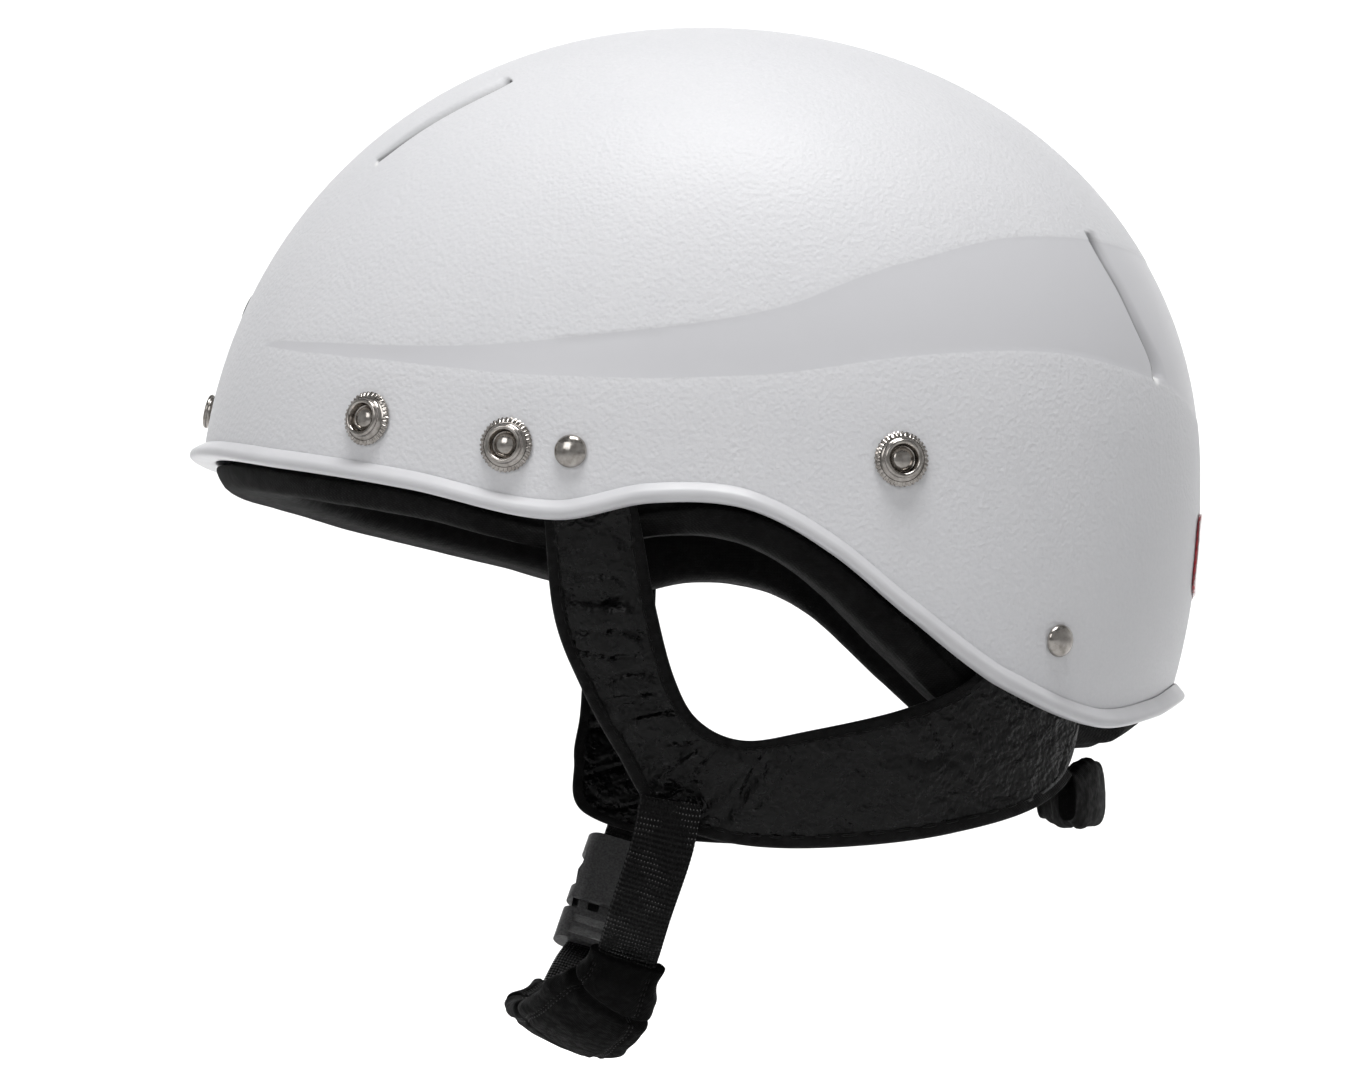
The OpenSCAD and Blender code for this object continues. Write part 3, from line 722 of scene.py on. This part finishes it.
def build_fittings():
    stud_spots = [front_spot(), *side_spots(STUDS)]
    rivet_spots = list(side_spots(RIVETS))

    def knurl(r, z, angle):
        tooth = 0.5 + 0.5 * np.sign(np.sin(TEETH * angle))
        edge = smooth((r - STUD_R + 1.15) / 0.9) * (z > SEAT + 0.1)
        return r - 0.28 * edge * tooth, z - 0.16 * edge * tooth

    ring = [[2.6, SEAT], [STUD_R - 0.25, SEAT], [STUD_R, SEAT + 0.18], [STUD_R, SEAT + 0.45],
            [STUD_R - 0.3, SEAT + 0.72], [STUD_R - 1.15, SEAT + 1.0],
            [STUD_R - 1.3, SEAT + 0.9], [POST_R + 0.5, SEAT + 0.95],
            [POST_R + 0.12, SEAT + 1.15], [POST_R - 0.28, SEAT + 1.75], [POST_R - 0.28, SEAT + 2.1],
            *arc(POST_R - 0.62, STUD_H - 0.62, 0.62, -40, 180, 12), [DISH_R + 0.15, SEAT + 2.0],
            [DISH_R - 0.1, SEAT + 1.1], [DISH_R - 0.5, SEAT + 0.85], [2.6, SEAT + 0.8]]
    studs = turned("snap_studs_knurled", ring, stud_spots, NICKEL, count=TEETH * 6, shape=knurl)
    place(studs, "helmet", "nickel", "snap_studs")
    domed = [[0.01, -SHELL_T - 2], [3, -SHELL_T - 2], [2.6, -SHELL_T - 1.3], [2, -SHELL_T - 1.3],
             [2, SEAT + 0.9], [DISH_R - 0.55, SEAT + 0.9], [DISH_R - 0.5, SEAT + 1.05],
             *[[(DISH_R - 0.5) * math.cos(a), SEAT + 1.05 + 1.25 * math.sin(a)]
               for a in np.linspace(0.12, 1.5, 9)],
             [0.01, SEAT + 2.3]]
    place(turned("snap_rivets_domed", domed, stud_spots, NICKEL, count=64), "helmet", "nickel", "snap_rivets")
    tail = -SHELL_T - TAB_GAP - TAB_T - END_T - WASHER_GAP - RIVET_TAIL
    bolt = [[0.01, tail], [3, tail], [2.7, tail + 0.6], [2, tail + 0.6], [2, SEAT],
            [HEAD_R - 0.25, SEAT], [HEAD_R, SEAT + 0.2],
            *[[HEAD_R * math.cos(a), SEAT + 0.35 + 2.0 * math.sin(a)] for a in np.linspace(0.02, 1.5, 14)],
            [0.01, SEAT + 2.36]]
    place(turned("strap_rivets_domed", bolt, rivet_spots, NICKEL, count=72), "helmet", "nickel", "strap_rivets")


def plaque(name, th0, z0, half_a, half_h, corner, t0, t1, material, slot, node):
    """A small plaque on the surface, outlined by a superellipse, with a rounded edge."""
    angle = np.arange(72) * 2 * math.pi / 72
    edge = np.stack([np.sign(np.cos(angle)) * np.abs(np.cos(angle)) ** (2 / corner) * half_a,
                     np.sign(np.sin(angle)) * np.abs(np.sin(angle)) ** (2 / corner) * half_h], -1)

    def lift(scale, t):
        a, z = th0 + edge[:, 0] * scale, z0 + edge[:, 1] * scale
        p = skin(a, z)
        n = unit(np.cross(skin(a + 0.3, z) - p, skin(a, z + 0.3) - p))
        return p + t * n

    rings = [lift(s, t0) for s in (0.05, 0.4, 0.7, 0.99)]
    edge_and_face = ((1, 0.3), (1, 0.65), (0.985, 0.88), (0.95, 1), (0.9, 1),
                     (0.87, 0.86), (0.6, 0.86), (0.3, 0.86), (0.05, 0.86))
    rings += [lift(s, t0 + (t1 - t0) * h) for s, h in edge_and_face]
    place(loft(name, rings, material, crease=60), "helmet", slot, node)


# ---------------------------------------- harness
EAR_LEFT = [[-16, 11], [-9, -9], [-4.5, -34], [0, -52], [6, -62.5], [17, -67.3], [33, -65], [57, -59.5],
            [74, -51.5], [86, -34]]
OUT_LEFT = [[-34, 11], [-32, -9], [-30, -36], [-23.5, -54], [-15, -70], [-3, -87], [24, -94], [68, -90.5],
            [98, -78], [104.5, -48]]
EAR_RIGHT = [[-16, 11], [-15, -9], [-15, -34], [-12, -52], [-4, -61], [11, -67.3], [33, -65], [57, -59.5],
             [74, -51.5], [86, -34]]
OUT_RIGHT = [[-34, 11], [-34, -9], [-36, -36], [-37, -56], [-39, -70], [-35, -86], [0, -94], [62, -92.5],
             [98, -78], [104.5, -48]]
YOKE_LAST = len(EAR_LEFT) - 1
YOKE_T, YOKE_LEAN, BINDING_W = 6.0, 0.3, 4.0
END_MID = SHELL_T + TAB_GAP + TAB_T + END_GAP + END_T / 2
# places of the sewn pleats along a yoke, and the pitch and length of its stitches, all in path points
PLEATS = (1.9, 3.4, 4.4, 5.55, 6.45, 7.2)
STITCH_PITCH, STITCH_LENGTH = 0.15, 0.09


def yoke_y(x, z):
    r = rim_z(x)
    top = np.maximum(z, r)
    return skin_y(x, top) - END_MID / side_normal(x, top)[..., 1] - YOKE_LEAN * np.maximum(0, r - z)


def yoke_half(s):
    k = np.clip((np.minimum(s, YOKE_LAST - s) - 1) / 1.1, 0, 1)
    return END_T / 2 + (YOKE_T - END_T) / 2 * k * k * (3 - 2 * k)


class Yoke:
    """One side of the harness: a padded strip from the front rivet, under the ear, to the rear rivet."""

    def __init__(self, side, ear, out):
        self.side, self.ear, self.out = side, np.array(ear, float), np.array(out, float)
        self.name = "left" if side < 0 else "right"

    def flat(self, s, t):
        return spline(self.ear, s) * (1 - t)[..., None] + spline(self.out, s) * t[..., None]

    def width(self, s):
        return np.linalg.norm(spline(self.ear, s) - spline(self.out, s), axis=-1)

    def at(self, s, t, dy):
        q = self.flat(s, t)
        return np.stack([q[..., 0], self.side * (yoke_y(q[..., 0], q[..., 1]) + dy), q[..., 1]], -1)

    def creases(self, s, t, seed):
        """Folds across the strip where it bends, with sewn pleats along the bottom."""
        q = self.flat(s, t)
        p = np.stack([q[..., 0], q[..., 1], np.full(q.shape[:-1], seed)], -1)
        bend = np.stack([s * 16, t * 7, np.full(s.shape, seed)], -1)
        folds = 1 - np.abs(perlin(bend, 5.5, seed)) * 2.4
        folds = np.clip(folds, 0, 1) ** 3
        lumps = perlin(p, 9, seed) * 0.5 + perlin(p, 4, seed + 4) * 0.28
        pleat = sum(np.exp(-((s - c - 0.05 * np.sin(6 * t)) * self.width(s) / 2.6) ** 2)
                    for c in PLEATS)
        middle = smooth(np.minimum(t, 1 - t) / 0.16)
        return (1.1 * lumps - 1.1 * folds - 1.3 * pleat * smooth(t / 0.3)) * middle

    def build_panel(self):
        S, J = 360, 34
        s = np.linspace(0.02, YOKE_LAST - 0.02, S)
        rings = []
        edge = BINDING_W * 0.5 / self.width(s)
        u = np.linspace(0, 1, J)
        for face in (1, -1):
            t = edge[:, None] + (1 - 2 * edge[:, None]) * (u[None] if face > 0 else u[None, ::-1])
            ss = np.repeat(s[:, None], J, 1)
            across = (t - edge[:, None]) / (1 - 2 * edge[:, None])
            pillow = 0.62 + 0.38 * (1 - np.abs(2 * across - 1) ** 3)
            full = smooth((np.minimum(ss, YOKE_LAST - ss) - 1.0) / 0.8)
            h = yoke_half(ss) * np.where(full > 0, pillow, 1)
            h = h + full * np.clip(self.creases(ss, across, 1.3 + face), -2.0, 0.8)
            rings.append(self.at(ss, t, face * np.maximum(h, 0.6)))
        obj = loft(f"yoke_{self.name}_leather", np.concatenate(rings, 1), LEATHER, crease=70)
        place(obj, "helmet", "yoke_leather", f"yoke_{self.name}")

    def build_binding(self):
        """Folded tape round both edges, with a row of stitches on each."""
        S = 300
        s = np.linspace(0.9, YOKE_LAST - 0.9, S)
        parts, stitches = [], []
        for inner_edge in (True, False):
            w = BINDING_W / self.width(s)
            corner = np.linspace(0, 2 * math.pi, 15)[:-1]
            cu = 0.5 + 0.5 * np.sign(np.cos(corner)) * np.abs(np.cos(corner)) ** 0.6
            cv = np.sign(np.sin(corner)) * np.abs(np.sin(corner)) ** 0.7
            # the right yoke's lower corner stays clear of the buckle when the strap swings
            clear = 0.9 * (self.side > 0) * np.exp(-((s - 4.4) / 1.1) ** 2) / self.width(s)
            t = cu[None] * w[:, None] if inner_edge else 1 - clear[:, None] - cu[None] * w[:, None]
            ss = np.repeat(s[:, None], len(corner), 1)
            ripple = 0.07 * np.sin(s * 31) + 0.06 * np.sin(s * 53 + 1) - 0.25
            h = (yoke_half(ss) * 0.9 + ripple[:, None]) * cv[None]
            parts.append(self.at(ss, t, h))
            for a in np.arange(1.0, YOKE_LAST - 1.0, STITCH_PITCH):
                b = np.array([a, a + STITCH_LENGTH])
                tt = 0.72 * BINDING_W / self.width(b)
                tt = tt if inner_edge else 1 - tt
                ends = self.at(b, tt, yoke_half(b) * 0.9 - 0.25)
                stitches.append(stitch(ends[0], ends[1], 0.28))
        tape = lofts(f"yoke_binding_{self.name}_tape", parts, TAPE, crease=70)
        place(tape, "helmet", "binding_fabric", f"yoke_binding_{self.name}")
        place(lofts(f"yoke_stitches_{self.name}", stitches, THREAD), "helmet", "binding_fabric")


def stitch(a, b, r):
    """Rings of a short thread with round ends, from a to b."""
    along = unit(b - a)
    side = unit(np.cross(along, [0, 0, 1.0] if abs(along[2]) < 0.9 else [1.0, 0, 0]))
    up = np.cross(side, along)
    angle = np.arange(8) * math.pi / 4
    wheel = np.cos(angle)[:, None] * side + np.sin(angle)[:, None] * up
    long = np.linalg.norm(b - a)
    return [a + along * (k * long) + wheel * r * g
            for k, g in ((0, 0.25), (0.12, 0.8), (0.5, 1), (0.88, 0.8), (1, 0.25))]


def build_nape():
    """The padded strap behind the neck."""
    half, S, K = 58.0, 90, 28
    y = np.linspace(-half, half, S)
    k = y / half
    x = 108.5 - 7 * k * k - 3 * k ** 4
    back = unit(np.stack([np.ones(S), 2 * (7 * k + 6 * k ** 3) / half, np.zeros(S)], -1))
    mid = np.stack([x, y, -80 - k * k], -1)
    angle = np.arange(K) * 2 * math.pi / K
    a = np.sign(np.cos(angle)) * np.abs(np.cos(angle)) ** 0.7 * 2.9
    b = np.sign(np.sin(angle)) * np.abs(np.sin(angle)) ** 0.6 * 8.3
    rings = mid[:, None] + a[None, :, None] * back[:, None] + np.stack([0 * b, 0 * b, b], -1)[None]
    puff = 1.5 * perlin(rings, 11, 2.2) + 0.8 * perlin(rings, 5, 5.5)
    pinch = 1 - 0.22 * np.exp(-((np.abs(y) - half) / 7) ** 2)[:, None]
    rings = mid[:, None] + (rings - mid[:, None]) * (pinch * (1 + 0.12 * puff))[..., None]
    obj = loft("nape_strap_pad", rings, NYLON)
    place(obj, "helmet", "nape_fabric", "nape_strap")


# ---------------------------------------- chin strap
LEFT_ROOT, RIGHT_ROOT = np.array([-1, -89.5, -82.0]), np.array([-19, 90, -84.0])
TILT_X, TILT_Y = math.radians(-29), math.radians(17)
WEB_W, WEB_T, CHIN_W, CHIN_T = 16.0, 1.8, 31.0, 9.0
SOCKET_TOP, LADDER_BAR = -14.0, -48.5          # places down the buckle's axis from the right root
# places along the chin pad and depths of its folds
CHIN_FOLDS = ((0.16, 0.22), (0.55, 0.1), (0.8, 0.16))
BUCKLE_TURN = np.array(Matrix.Rotation(TILT_Y, 3, "Y") @ Matrix.Rotation(TILT_X, 3, "X"))


def on_buckle(points):
    return RIGHT_ROOT + np.asarray(points, float) @ BUCKLE_TURN.T


# x, y and z of the chin webbing's middle, and its tilt in degrees
CHIN_PATH = [[*LEFT_ROOT, 8], [-3.5, -86, -94, 8], [-9, -76, -109, 10], [-16, -57, -127, 16],
             [-26, -34, -138.5, 22], [-34, -10, -143, 25], [-38, 14, -142.5, 25], [-37, 38, -137, 20],
             [-34, 55, -129, 16], [*on_buckle([0, 0, LADDER_BAR]), 14]]


def strap_frame(u):
    """The chin webbing at places 0 to 1: its middle, width and thickness directions and length so far."""
    last = len(CHIN_PATH) - 1
    p = spline(CHIN_PATH, u * last)
    ahead, behind = np.minimum(u + 0.01, 1), np.maximum(u - 0.01, 0)
    tangent = unit((spline(CHIN_PATH, ahead * last) - spline(CHIN_PATH, behind * last))[:, :3])
    tilt = np.radians(p[:, 3])
    wide = np.stack([np.cos(tilt), 0 * tilt, -np.sin(tilt)], -1)
    side = unit(wide - (wide * tangent).sum(-1, keepdims=True) * tangent)
    length = np.concatenate([[0], np.cumsum(np.linalg.norm(np.diff(p[:, :3], axis=0), axis=-1))])
    return p[:, :3], side, np.cross(side, tangent), length


def strap_rings(p, side, n, w, t, across):
    """Rings of a flat strap: across runs from -1 to 1 over the front and back again."""
    edge = (1 - np.abs(across) ** 6) ** 0.5
    front = p[:, None] + (across * w / 2)[None, :, None] * side[:, None] \
        + (edge * t / 2)[None, :, None] * n[:, None]
    back = p[:, None] + (across[::-1] * w / 2)[None, :, None] * side[:, None] \
        - (edge[::-1] * t / 2)[None, :, None] * n[:, None]
    return np.concatenate([front, back[:, 1:-1]], 1)


def finish_web(name, rings, across, length, body, node):
    obj = loft(name, rings, WEBBING, crease=80)
    width = np.concatenate([across, across[::-1][1:-1]]) * WEB_W / 2
    add_values(obj, "along_mm", np.repeat(length, rings.shape[1]))
    add_values(obj, "across_mm", np.tile(width, rings.shape[0]))
    place(obj, body, "webbing", node)


def build_webbing():
    across = np.linspace(-1, 1, 25)
    u = np.linspace(0, 1, 420)
    p, side, n, length = strap_frame(u)
    curl = 0.5 * np.sin(length / 9) * smooth((length - 4) / 12) * smooth((60 - length) / 20)
    rings = strap_rings(p + curl[:, None] * n, side, n, WEB_W - 0.4, WEB_T - 0.2, across)
    rib = 0.1 * np.sin(2 * math.pi * length / 1.25)
    rings = rings + (rings - p[:, None]) * (rib[:, None, None] / WEB_W)
    finish_web("chin_webbing_ribbed", rings, across, length, "chin_strap", "chin_webbing")
    z = np.linspace(1.7, SOCKET_TOP - 2.4, 60)
    q = on_buckle(np.stack([0 * z, 0 * z, z], -1))
    side = np.repeat(on_buckle([[1, 0, 0]]) - RIGHT_ROOT, len(z), 0)
    n = np.repeat(on_buckle([[0, 1, 0]]) - RIGHT_ROOT, len(z), 0)
    rings = strap_rings(q, side, n, WEB_W - 0.4, WEB_T - 0.2, across)
    finish_web("buckle_webbing_ribbed", rings, across, 1.7 - z, "chin_strap", "buckle_webbing")


def build_chin_pad():
    """The soft sleeve under the chin: two layers sewn along both edges, with a fold near each end."""
    u = np.linspace(0.3, 0.79, 165)
    p, side, n, length = strap_frame(u)
    K = 56
    angle = np.arange(K) * 2 * math.pi / K
    from_end = np.minimum(length, length[-1] - length)
    puff = 0.55 + 0.45 * smooth(from_end / 9)
    gather = 0.64 + 0.36 * smooth((from_end - 2) / 30)
    a = np.sign(np.cos(angle)) * np.abs(np.cos(angle)) ** 0.75 * CHIN_W / 2
    b = np.sign(np.sin(angle)) * np.abs(np.sin(angle)) ** 0.85 * CHIN_T / 2
    seam = 1 - 0.3 * np.exp(-((np.abs(a) - CHIN_W / 2 + 4) / 0.9) ** 2)
    thick = (b * seam)[None] * puff[:, None]
    wide = a[None] * gather[:, None]
    offset = wide[..., None] * side[:, None] + thick[..., None] * n[:, None]
    rings = p[:, None] + offset
    wrinkle = 0.1 * perlin(rings, 13, 7.7) + 0.05 * perlin(rings * [1, 0.4, 1], 5, 1.1)
    fold = sum(deep * np.exp(-((length[:, None] - length[-1] * at - 0.25 * a[None]) / 1.5) ** 2)
               for at, deep in CHIN_FOLDS)
    rings = p[:, None] + offset * (0.97 + wrinkle - fold)[..., None]
    obj = loft("chin_pad_sleeve", rings, NYLON)
    place(obj, "chin_strap", "chin_fabric", "chin_pad")
    threads = []
    for j in np.flatnonzero(np.abs(np.abs(a) - CHIN_W / 2 + 4) < 0.75):
        for i in range(4, len(u) - 6, 3):
            threads.append(stitch(rings[i, j], rings[i + 2, j], 0.18))
    place(lofts("chin_pad_stitches", threads, THREAD), "chin_strap", "chin_fabric")


# ---------------------------------------- carried-over CAD nodes
CARRIED = {"impact_liner": FOAM, "snap_washers": STEEL, "rivet_washers": STEEL, "anchor_tabs": TAB,
           "buckle_socket": ACETAL, "buckle_plug": ACETAL,
           "buckle_prong_front": ACETAL, "buckle_prong_rear": ACETAL}
SOFT_EDGES = {"buckle_socket": 0.7, "buckle_plug": 0.6, "buckle_prong_front": 0.45, "buckle_prong_rear": 0.45,
              "anchor_tabs": 0.2, "snap_washers": 0.15, "rivet_washers": 0.15}


def dress_nodes():
    for name, material in CARRIED.items():
        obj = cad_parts[name]
        if not obj.material_slots:
            obj.data.materials.append(material)
        for s in obj.material_slots:
            s.link = "OBJECT"
            s.material = material
        if name in SOFT_EDGES:
            weld = obj.modifiers.new("weld", "WELD")
            weld.merge_threshold = 0.00001
            bevel = obj.modifiers.new("soft_edges", "BEVEL")
            bevel.width = SOFT_EDGES[name] * MM
            bevel.segments = 3
            bevel.limit_method = "ANGLE"
            bevel.angle_limit = math.radians(40)
            bevel.harden_normals = False


# ---------------------------------------- comfort pads
PADS = {"forehead_pad": (148, 212, 0.62, 0.86), "side_pad_left": (232, 304, 0.56, 0.84),
        "side_pad_right": (56, 128, 0.56, 0.84), "rear_pad": (-36, 36, 0.6, 0.86)}
PAD_OUT = LINER_IN + 0.8
CROWN_PAD_FROM, CROWN_PAD_TO = 0.02, 0.335     # falls from the crown that the crown pad covers


def puff_up(obj, cap_mm, voxel_mm=4.5, pressure=4.0, frames=20):
    """Swells a closed soft piece with a cloth simulation, each point staying within cap_mm of its start."""
    bpy.context.view_layer.objects.active = obj
    for o in bpy.context.selected_objects:
        o.select_set(False)
    obj.select_set(True)
    obj.data.remesh_voxel_size = voxel_mm * MM
    bpy.ops.object.voxel_remesh()
    before = np.array([v.co for v in obj.data.vertices])
    cloth = obj.modifiers.new("cloth", "CLOTH")
    cloth.settings.use_pressure = True
    cloth.settings.uniform_pressure_force = pressure
    cloth.settings.effector_weights.gravity = 0
    cloth.settings.quality = 5
    cloth.settings.tension_stiffness = 30
    cloth.settings.bending_stiffness = 1.0
    scene = bpy.context.scene
    for f in range(1, frames + 1):
        scene.frame_set(f)
    shape = obj.evaluated_get(bpy.context.evaluated_depsgraph_get()).to_mesh()
    after = np.array([v.co for v in shape.vertices])
    obj.evaluated_get(bpy.context.evaluated_depsgraph_get()).to_mesh_clear()
    obj.modifiers.remove(cloth)
    scene.frame_set(1)
    move = after - before
    far = np.linalg.norm(move, axis=1, keepdims=True)
    move *= np.minimum(1, cap_mm * MM / np.maximum(far, 1e-9))
    obj.data.vertices.foreach_set("co", (before + move).astype(np.float32).ravel())
    obj.data.update()
    obj.data.shade_smooth()
    obj.modifiers.new("smooth", "SUBSURF").levels = 1
    obj.modifiers["smooth"].render_levels = 1


def build_pads():
    for name, (a0, a1, f0, f1) in PADS.items():
        cols, rows = 40, 18
        u, v = np.linspace(0, 1, cols), np.linspace(0, 1, rows)
        U, V = np.meshgrid(u, v, indexing="ij")
        a, f = a0 + (a1 - a0) * U, f0 + (f1 - f0) * V
        shape = np.clip(np.sin(np.pi * (0.03 + 0.94 * U)) * np.sin(np.pi * (0.03 + 0.94 * V)), 0, 1) ** 0.35
        quilt = 1 - 0.1 * np.exp(-((V - 0.5) / 0.05) ** 2)
        face = PAD_OUT + (PAD_T - 1.2) * shape * quilt
        rings = np.concatenate([inside(a, f, np.full(a.shape, PAD_OUT)), inside(a, f, face)[:, ::-1]], 1)
        obj = loft(f"{name}_cushion", rings, PAD_CLOTH)
        puff_up(obj, 1.2)
        place(obj, "helmet", "pad_fabric", name)
    count, steps = 96, 22
    th = np.arange(count) * 360 / count
    outer = [inside(th, f, np.full(count, PAD_OUT))
             for f in np.linspace(CROWN_PAD_FROM, CROWN_PAD_TO, steps)]
    inner = [inside(th, f, np.full(count, PAD_OUT + 1 + (PAD_T - 2) * (1 - (f / CROWN_PAD_TO) ** 6)))
             for f in np.linspace(CROWN_PAD_TO, CROWN_PAD_FROM, steps)]
    obj = loft("crown_pad_cushion", outer + inner, PAD_CLOTH)
    puff_up(obj, 1.0)
    place(obj, "helmet", "pad_fabric", "crown_pad")


# ---------------------------------------- studio
WORLD_LIGHT = 0.19
# name, place, aim, size and power of each soft box, in metres and watts
LIGHTS = [("top_box", (0.05, -0.45, 1.2), (0.0, 0.0, 0.0), (0.7, 0.45), 12.0),
          ("front_fill", (-0.8, -1.4, 0.7), (0.0, 0.0, 0.0), (0.7, 0.7), 3.7),
          ("backdrop_wash", (0.0, 1.0, 1.2), (0.0, 2.5, -0.1), (1.2, 0.6), 64.0)]


def build_studio():
    """A pale floor that curves up into a pale backdrop, all round, and soft lights."""
    k = Look("studio_paper", (0.8, 0.8, 0.8), 0.9, level=0.1)
    k.tint(k.noise(900, 2), (0.79, 0.79, 0.79), (0.81, 0.81, 0.81))
    count = 96
    radii = [1, 800, 1600, 2400, 2800, 3050, 3160, 3200, 3200]
    heights = [0, 0, 0, 0, 60, 220, 480, 900, 2600]
    angle = np.arange(count) * 2 * math.pi / count
    rings = [np.stack([r * np.cos(angle), r * np.sin(angle), np.full(count, FLOOR_Z + h)], -1)
             for r, h in zip(radii, heights)]
    verts = np.concatenate(rings)
    faces = [(i * count + j, i * count + (j + 1) % count,
              (i + 1) * count + (j + 1) % count, (i + 1) * count + j)
             for i in range(len(rings) - 1) for j in range(count)]
    faces.append(tuple(range(count)))
    stage = make("studio_sweep", verts, faces, k.mat)
    world = bpy.data.worlds.new("studio")
    bpy.context.scene.world = world
    world.use_nodes = True
    world.node_tree.nodes["Background"].inputs["Color"].default_value = (1, 1, 1, 1)
    world.node_tree.nodes["Background"].inputs["Strength"].default_value = WORLD_LIGHT
    for name, at, aim, size, power in LIGHTS:
        data = bpy.data.lights.new(name, "AREA")
        data.shape = "RECTANGLE"
        data.size, data.size_y = size
        data.energy = power
        lamp = bpy.data.objects.new(name, data)
        bpy.context.scene.collection.objects.link(lamp)
        lamp.location = at
        lamp.rotation_euler = turned_to(at, aim)


# ---------------------------------------- the whole scene
build_shell()
build_rim()
build_band()
build_fittings()
plaque("front_badge_blank", 180, 52.7, 5.6, 5.6, 2, 0.1, 1.0, BADGE, "badge_plastic", "front_badge")
plaque("rear_reflector_prisms", 0, -16.6, 12, 11.2, 5, 0.12, 0.9, REFLECTOR, "reflector_plastic", "rear_reflector")
for yoke in (Yoke(-1, EAR_LEFT, OUT_LEFT), Yoke(1, EAR_RIGHT, OUT_RIGHT)):
    yoke.build_panel()
    yoke.build_binding()
build_nape()
build_webbing()
build_chin_pad()
build_pads()
dress_nodes()
build_studio()
bpy.context.scene.view_settings.view_transform = "Standard"
